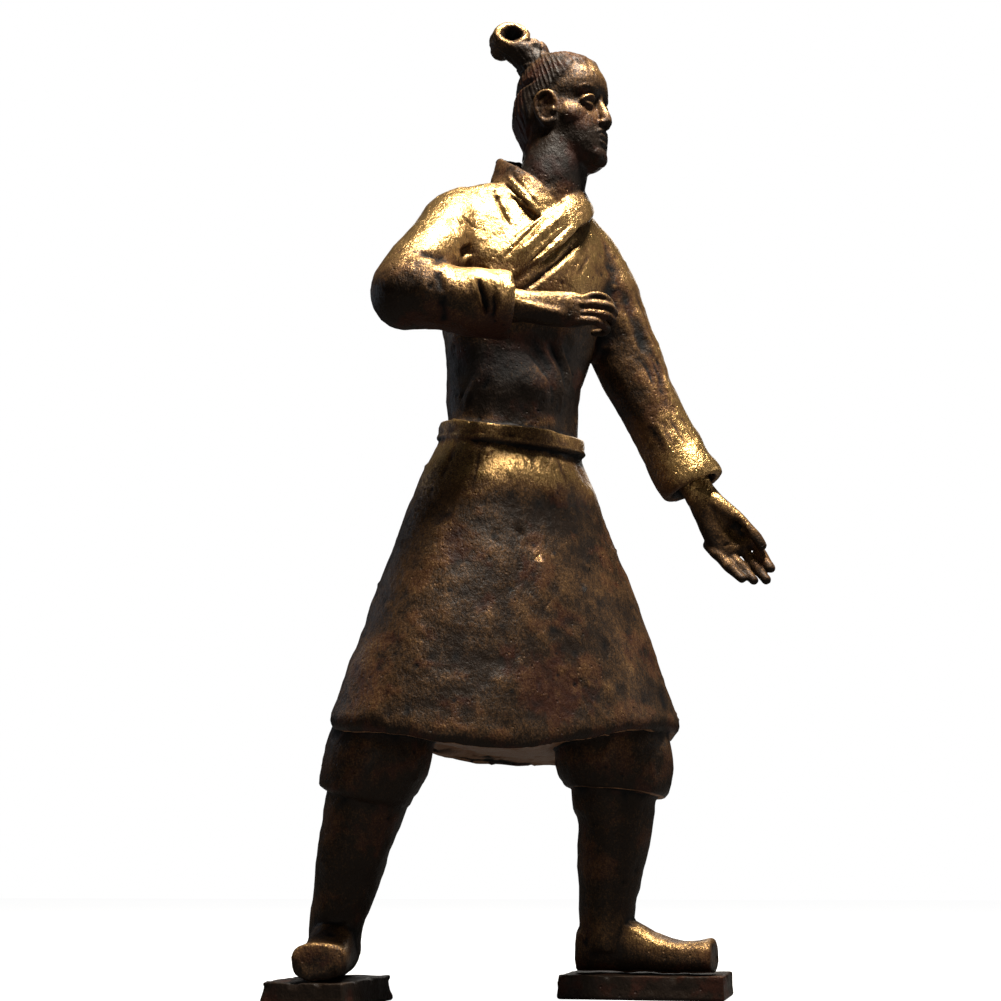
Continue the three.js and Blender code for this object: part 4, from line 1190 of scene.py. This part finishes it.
bronze = {
    "gold": (0.43, 0.27, 0.105, 1), "warmGold": (0.17, 0.088, 0.036, 1), "brown": (0.0108, 0.0064, 0.0040, 1),
    "red": (0.023, 0.0074, 0.0040, 1), "dark": (0.0028, 0.0026, 0.0029, 1),
    "paintedBounce": (0.19, 0.10, 0.055, 1),         # painted bounce light from the floor, under the hem and the soles
    "goldRough": 0.33, "brownRough": 0.5, "deepRough": 0.22,
    "lacquer": 0.03, "lacquerRough": 0.3, "sheen": 0.09,
    "onRaised": 0.30, "inHollowsAndShade": 0.28,    # how much more gold on raised places, and less in hollows and in the painted shade
    "plinthDull": 0.3,
    "marks": 0.001,                         # depth of the brush marks and pits, m
}


def bronzeMaterial(name, dull=0.0):
    material = bpy.data.materials.new(name)
    material.use_nodes = True
    tree = material.node_tree
    shader = tree.nodes["Principled BSDF"]
    shader.inputs["Coat Weight"].default_value = bronze["lacquer"]
    shader.inputs["Coat Roughness"].default_value = bronze["lacquerRough"]
    shader.inputs["Specular IOR Level"].default_value = bronze["sheen"]
    place = add(tree, "ShaderNodeTexCoord").outputs["Object"]
    broad = noiseOf(tree, place, (15, 15, 12), 2)
    cloud = noiseOf(tree, place, (4.2, 4.2, 5), 4, 0.62)
    streak = noiseOf(tree, place, (0.9, 0.9, 1.9), 4, 0.65)
    grain = noiseOf(tree, place, (0.42, 0.42, 0.5), 3, 0.6)
    up = heightOf(tree, add(tree, "ShaderNodeNewGeometry").outputs["Normal"])
    raised, sunkenAndShade, giltAndLight = (attributeOf(tree, name) for name in ("raised", "sunkenAndShade", "giltAndLight"))
    # gold rubbed on: most on raised places, least in hollows, broken up by the brush; upward places get more as
    # painted top light, and the gold amounts add their painted highlights and painted shade
    rubAndLight = sums(
        tree, "ADD", between(tree, broad, 0.35, 0.65, -0.06, 0.06), between(tree, cloud, 0.3, 0.7, -0.05, 0.05),
        between(tree, streak, 0.3, 0.7, -0.10, 0.10), between(tree, grain, 0.35, 0.72, -0.06, 0.22),
        between(tree, up, -0.9, 0.9, -0.45, 0.15), sums(tree, "MULTIPLY", raised, bronze["onRaised"]))
    rubAndLight = sums(tree, "SUBTRACT", rubAndLight, sums(tree, "MULTIPLY", sunkenAndShade, bronze["inHollowsAndShade"]))
    rubAndLight = sums(tree, "SUBTRACT", sums(tree, "ADD", rubAndLight, giltAndLight), dull)
    # deep marks the hollows and the painted shade, which take the dark colour below
    deep = between(tree, sunkenAndShade, 0.25, 1.0)
    # cover carries the gold with its painted top light, painted highlights and painted shade
    cover = between(tree, rubAndLight, 0.0, 1.0)
    patches = sums(tree, "MULTIPLY", broad, sums(tree, "ADD", cloud, 0.5))
    under = mixed(tree, between(tree, patches, 0.48, 0.62), bronze["brown"], bronze["red"])
    under = mixed(tree, deep, under, bronze["dark"])
    # painted bounce light: downward faces below the hem's height are given the lighter brown
    facingDown, low = between(tree, up, -0.97, -0.9, 1, 0), between(tree, heightOf(tree, place), 0.074, 0.080, 1, 0)
    under = mixed(tree, sums(tree, "MULTIPLY", facingDown, low), under, bronze["paintedBounce"])
    gold = mixed(tree, between(tree, cover, 0.35, 1.0), bronze["warmGold"], bronze["gold"])
    tree.links.new(mixed(tree, cover, under, gold), shader.inputs["Base Color"])
    tree.links.new(between(tree, cover, 0, 1, 0.0, 0.95), shader.inputs["Metallic"])
    rough = sums(
        tree, "ADD", between(tree, cover, 0, 1, bronze["brownRough"], bronze["goldRough"]),
        between(tree, streak, 0.3, 0.7, -0.06, 0.06), sums(tree, "MULTIPLY", deep, bronze["deepRough"]))
    tree.links.new(rough, shader.inputs["Roughness"])
    # small pits left by the casting, in patches, and the marks of the brush
    pitInputs = {"Vector": scaled(tree, place, (2.6, 2.6, 2.6)), "Scale": 1, "Randomness": 1}
    pits = add(tree, "ShaderNodeTexVoronoi", pitInputs, feature="F1").outputs["Distance"]
    pit = sums(tree, "MULTIPLY", between(tree, pits, 0.08, 0.2, -1, 0), between(tree, broad, 0.42, 0.56))
    shares = ((streak, 0.26), (grain, 0.10), (cloud, 0.75), (pit, 0.25))
    height = sums(tree, "ADD", *(sums(tree, "MULTIPLY", source, share) for source, share in shares))
    bump = add(tree, "ShaderNodeBump", {"Height": height, "Strength": 1.0, "Distance": bronze["marks"]})
    tree.links.new(bump.outputs["Normal"], shader.inputs["Normal"])
    return material


figureMaterial = bronzeMaterial("bronzedClay")
figure.data.materials.clear()
figure.data.materials.append(figureMaterial)
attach(figure, "root")
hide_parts("warrior_figure")

plinthMaterial = bronzeMaterial("bronzedPlinth", bronze["plinthDull"])
for node, piece in plinthPieces.items():
    piece.data.materials.clear()
    piece.data.materials.append(plinthMaterial)
    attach(piece, "root")
    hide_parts(node)
print("bronze and gold laid on")

# Studio: pale floor, soft light, and the camera
studio = {
    "lens": 56.2, "pitch": 13.8, "place": (0, -466, 32),
    "floor": 0.4, "floorGlow": 0.96,    # how pale the floor looks
    "floorBounce": 0.14,                # how much of the light it throws back on the figure
    "ambient": 0.025,
    "lights": [     # name, place, what it is aimed at, size, power, colour
        ("key", (110, -155, 700), (0, 0, 190), 0.13, 12.5, (1, 0.93, 0.82)),
        ("leftRim", (-420, 200, 300), (0, 0, 170), 0.2, 0.25, (0.8, 0.88, 1)),
        ("rightRim", (460, 60, 220), (0, 0, 130), 0.2, 0.35, (1, 0.95, 0.88)),
        ("back", (60, 540, 480), (0, 0, 160), 0.4, 1.6, (1, 0.95, 0.88)),
        ("low", (-40, -400, 14), (0, 0, 70), 0.2, 0.24, (1, 0.93, 0.84))],
}


def areaLight(name, place, target, size, power, colour):
    data = bpy.data.lights.new(name, "AREA")
    data.shape = "DISK"
    data.size = size
    data.energy = power
    data.color = colour
    lamp = bpy.data.objects.new(name, data)
    bpy.context.scene.collection.objects.link(lamp)
    lamp.location = toObject @ Vector(place)
    aim = toObject @ Vector(target) - lamp.location
    lamp.rotation_euler = aim.to_track_quat("-Z", "Y").to_euler()


def setCamera():
    cameraData = bpy.data.cameras.new("camera")
    cameraData.lens = studio["lens"]
    cameraData.sensor_width = 36
    cameraData.clip_start = 0.01
    camera = bpy.data.objects.new("camera", cameraData)
    bpy.context.scene.collection.objects.link(camera)
    camera.location = toObject @ Vector(studio["place"])
    camera.rotation_euler = (math.radians(90 + studio["pitch"]), 0, math.radians(stance["turn"]))
    bpy.context.scene.camera = camera
    bpy.context.scene.view_settings.view_transform = "Standard"
    bpy.context.scene.view_settings.look = "None"


def laidFloor():
    bm = bmesh.new()
    bmesh.ops.create_grid(bm, x_segments=1, y_segments=1, size=3)
    floor = asPiece(bm, "floor")
    floorPaint = bpy.data.materials.new("floorPaint")
    floorPaint.use_nodes = True
    tree = floorPaint.node_tree
    shader = tree.nodes["Principled BSDF"]
    shader.inputs["Roughness"].default_value = 0.9
    shader.inputs["Emission Color"].default_value = (1, 1, 1, 1)
    seen = add(tree, "ShaderNodeLightPath").outputs["Is Camera Ray"]
    tones = {"Value": seen, "To Min": studio["floorBounce"], "To Max": studio["floor"]}
    tone = add(tree, "ShaderNodeMapRange", tones).outputs[0]
    grey = add(tree, "ShaderNodeCombineColor", {"Red": tone, "Green": tone, "Blue": tone}).outputs[0]
    tree.links.new(grey, shader.inputs["Base Color"])
    tree.links.new(sums(tree, "MULTIPLY", seen, studio["floorGlow"]), shader.inputs["Emission Strength"])
    floor.data.materials.append(floorPaint)
    return floor


def paleSurround():
    world = bpy.data.worlds.new("studio")
    bpy.context.scene.world = world
    world.use_nodes = True
    tree = world.node_tree
    background = tree.nodes["Background"]
    background.inputs["Color"].default_value = (1, 1, 1, 1)
    seen = add(tree, "ShaderNodeLightPath").outputs["Is Camera Ray"]
    strength = add(tree, "ShaderNodeMapRange", {"Value": seen, "To Min": studio["ambient"], "To Max": 1.0}).outputs[0]
    tree.links.new(strength, background.inputs["Strength"])


setCamera()
floor = laidFloor()
paleSurround()
for light in studio["lights"]:
    areaLight(*light)
print("studio ready")
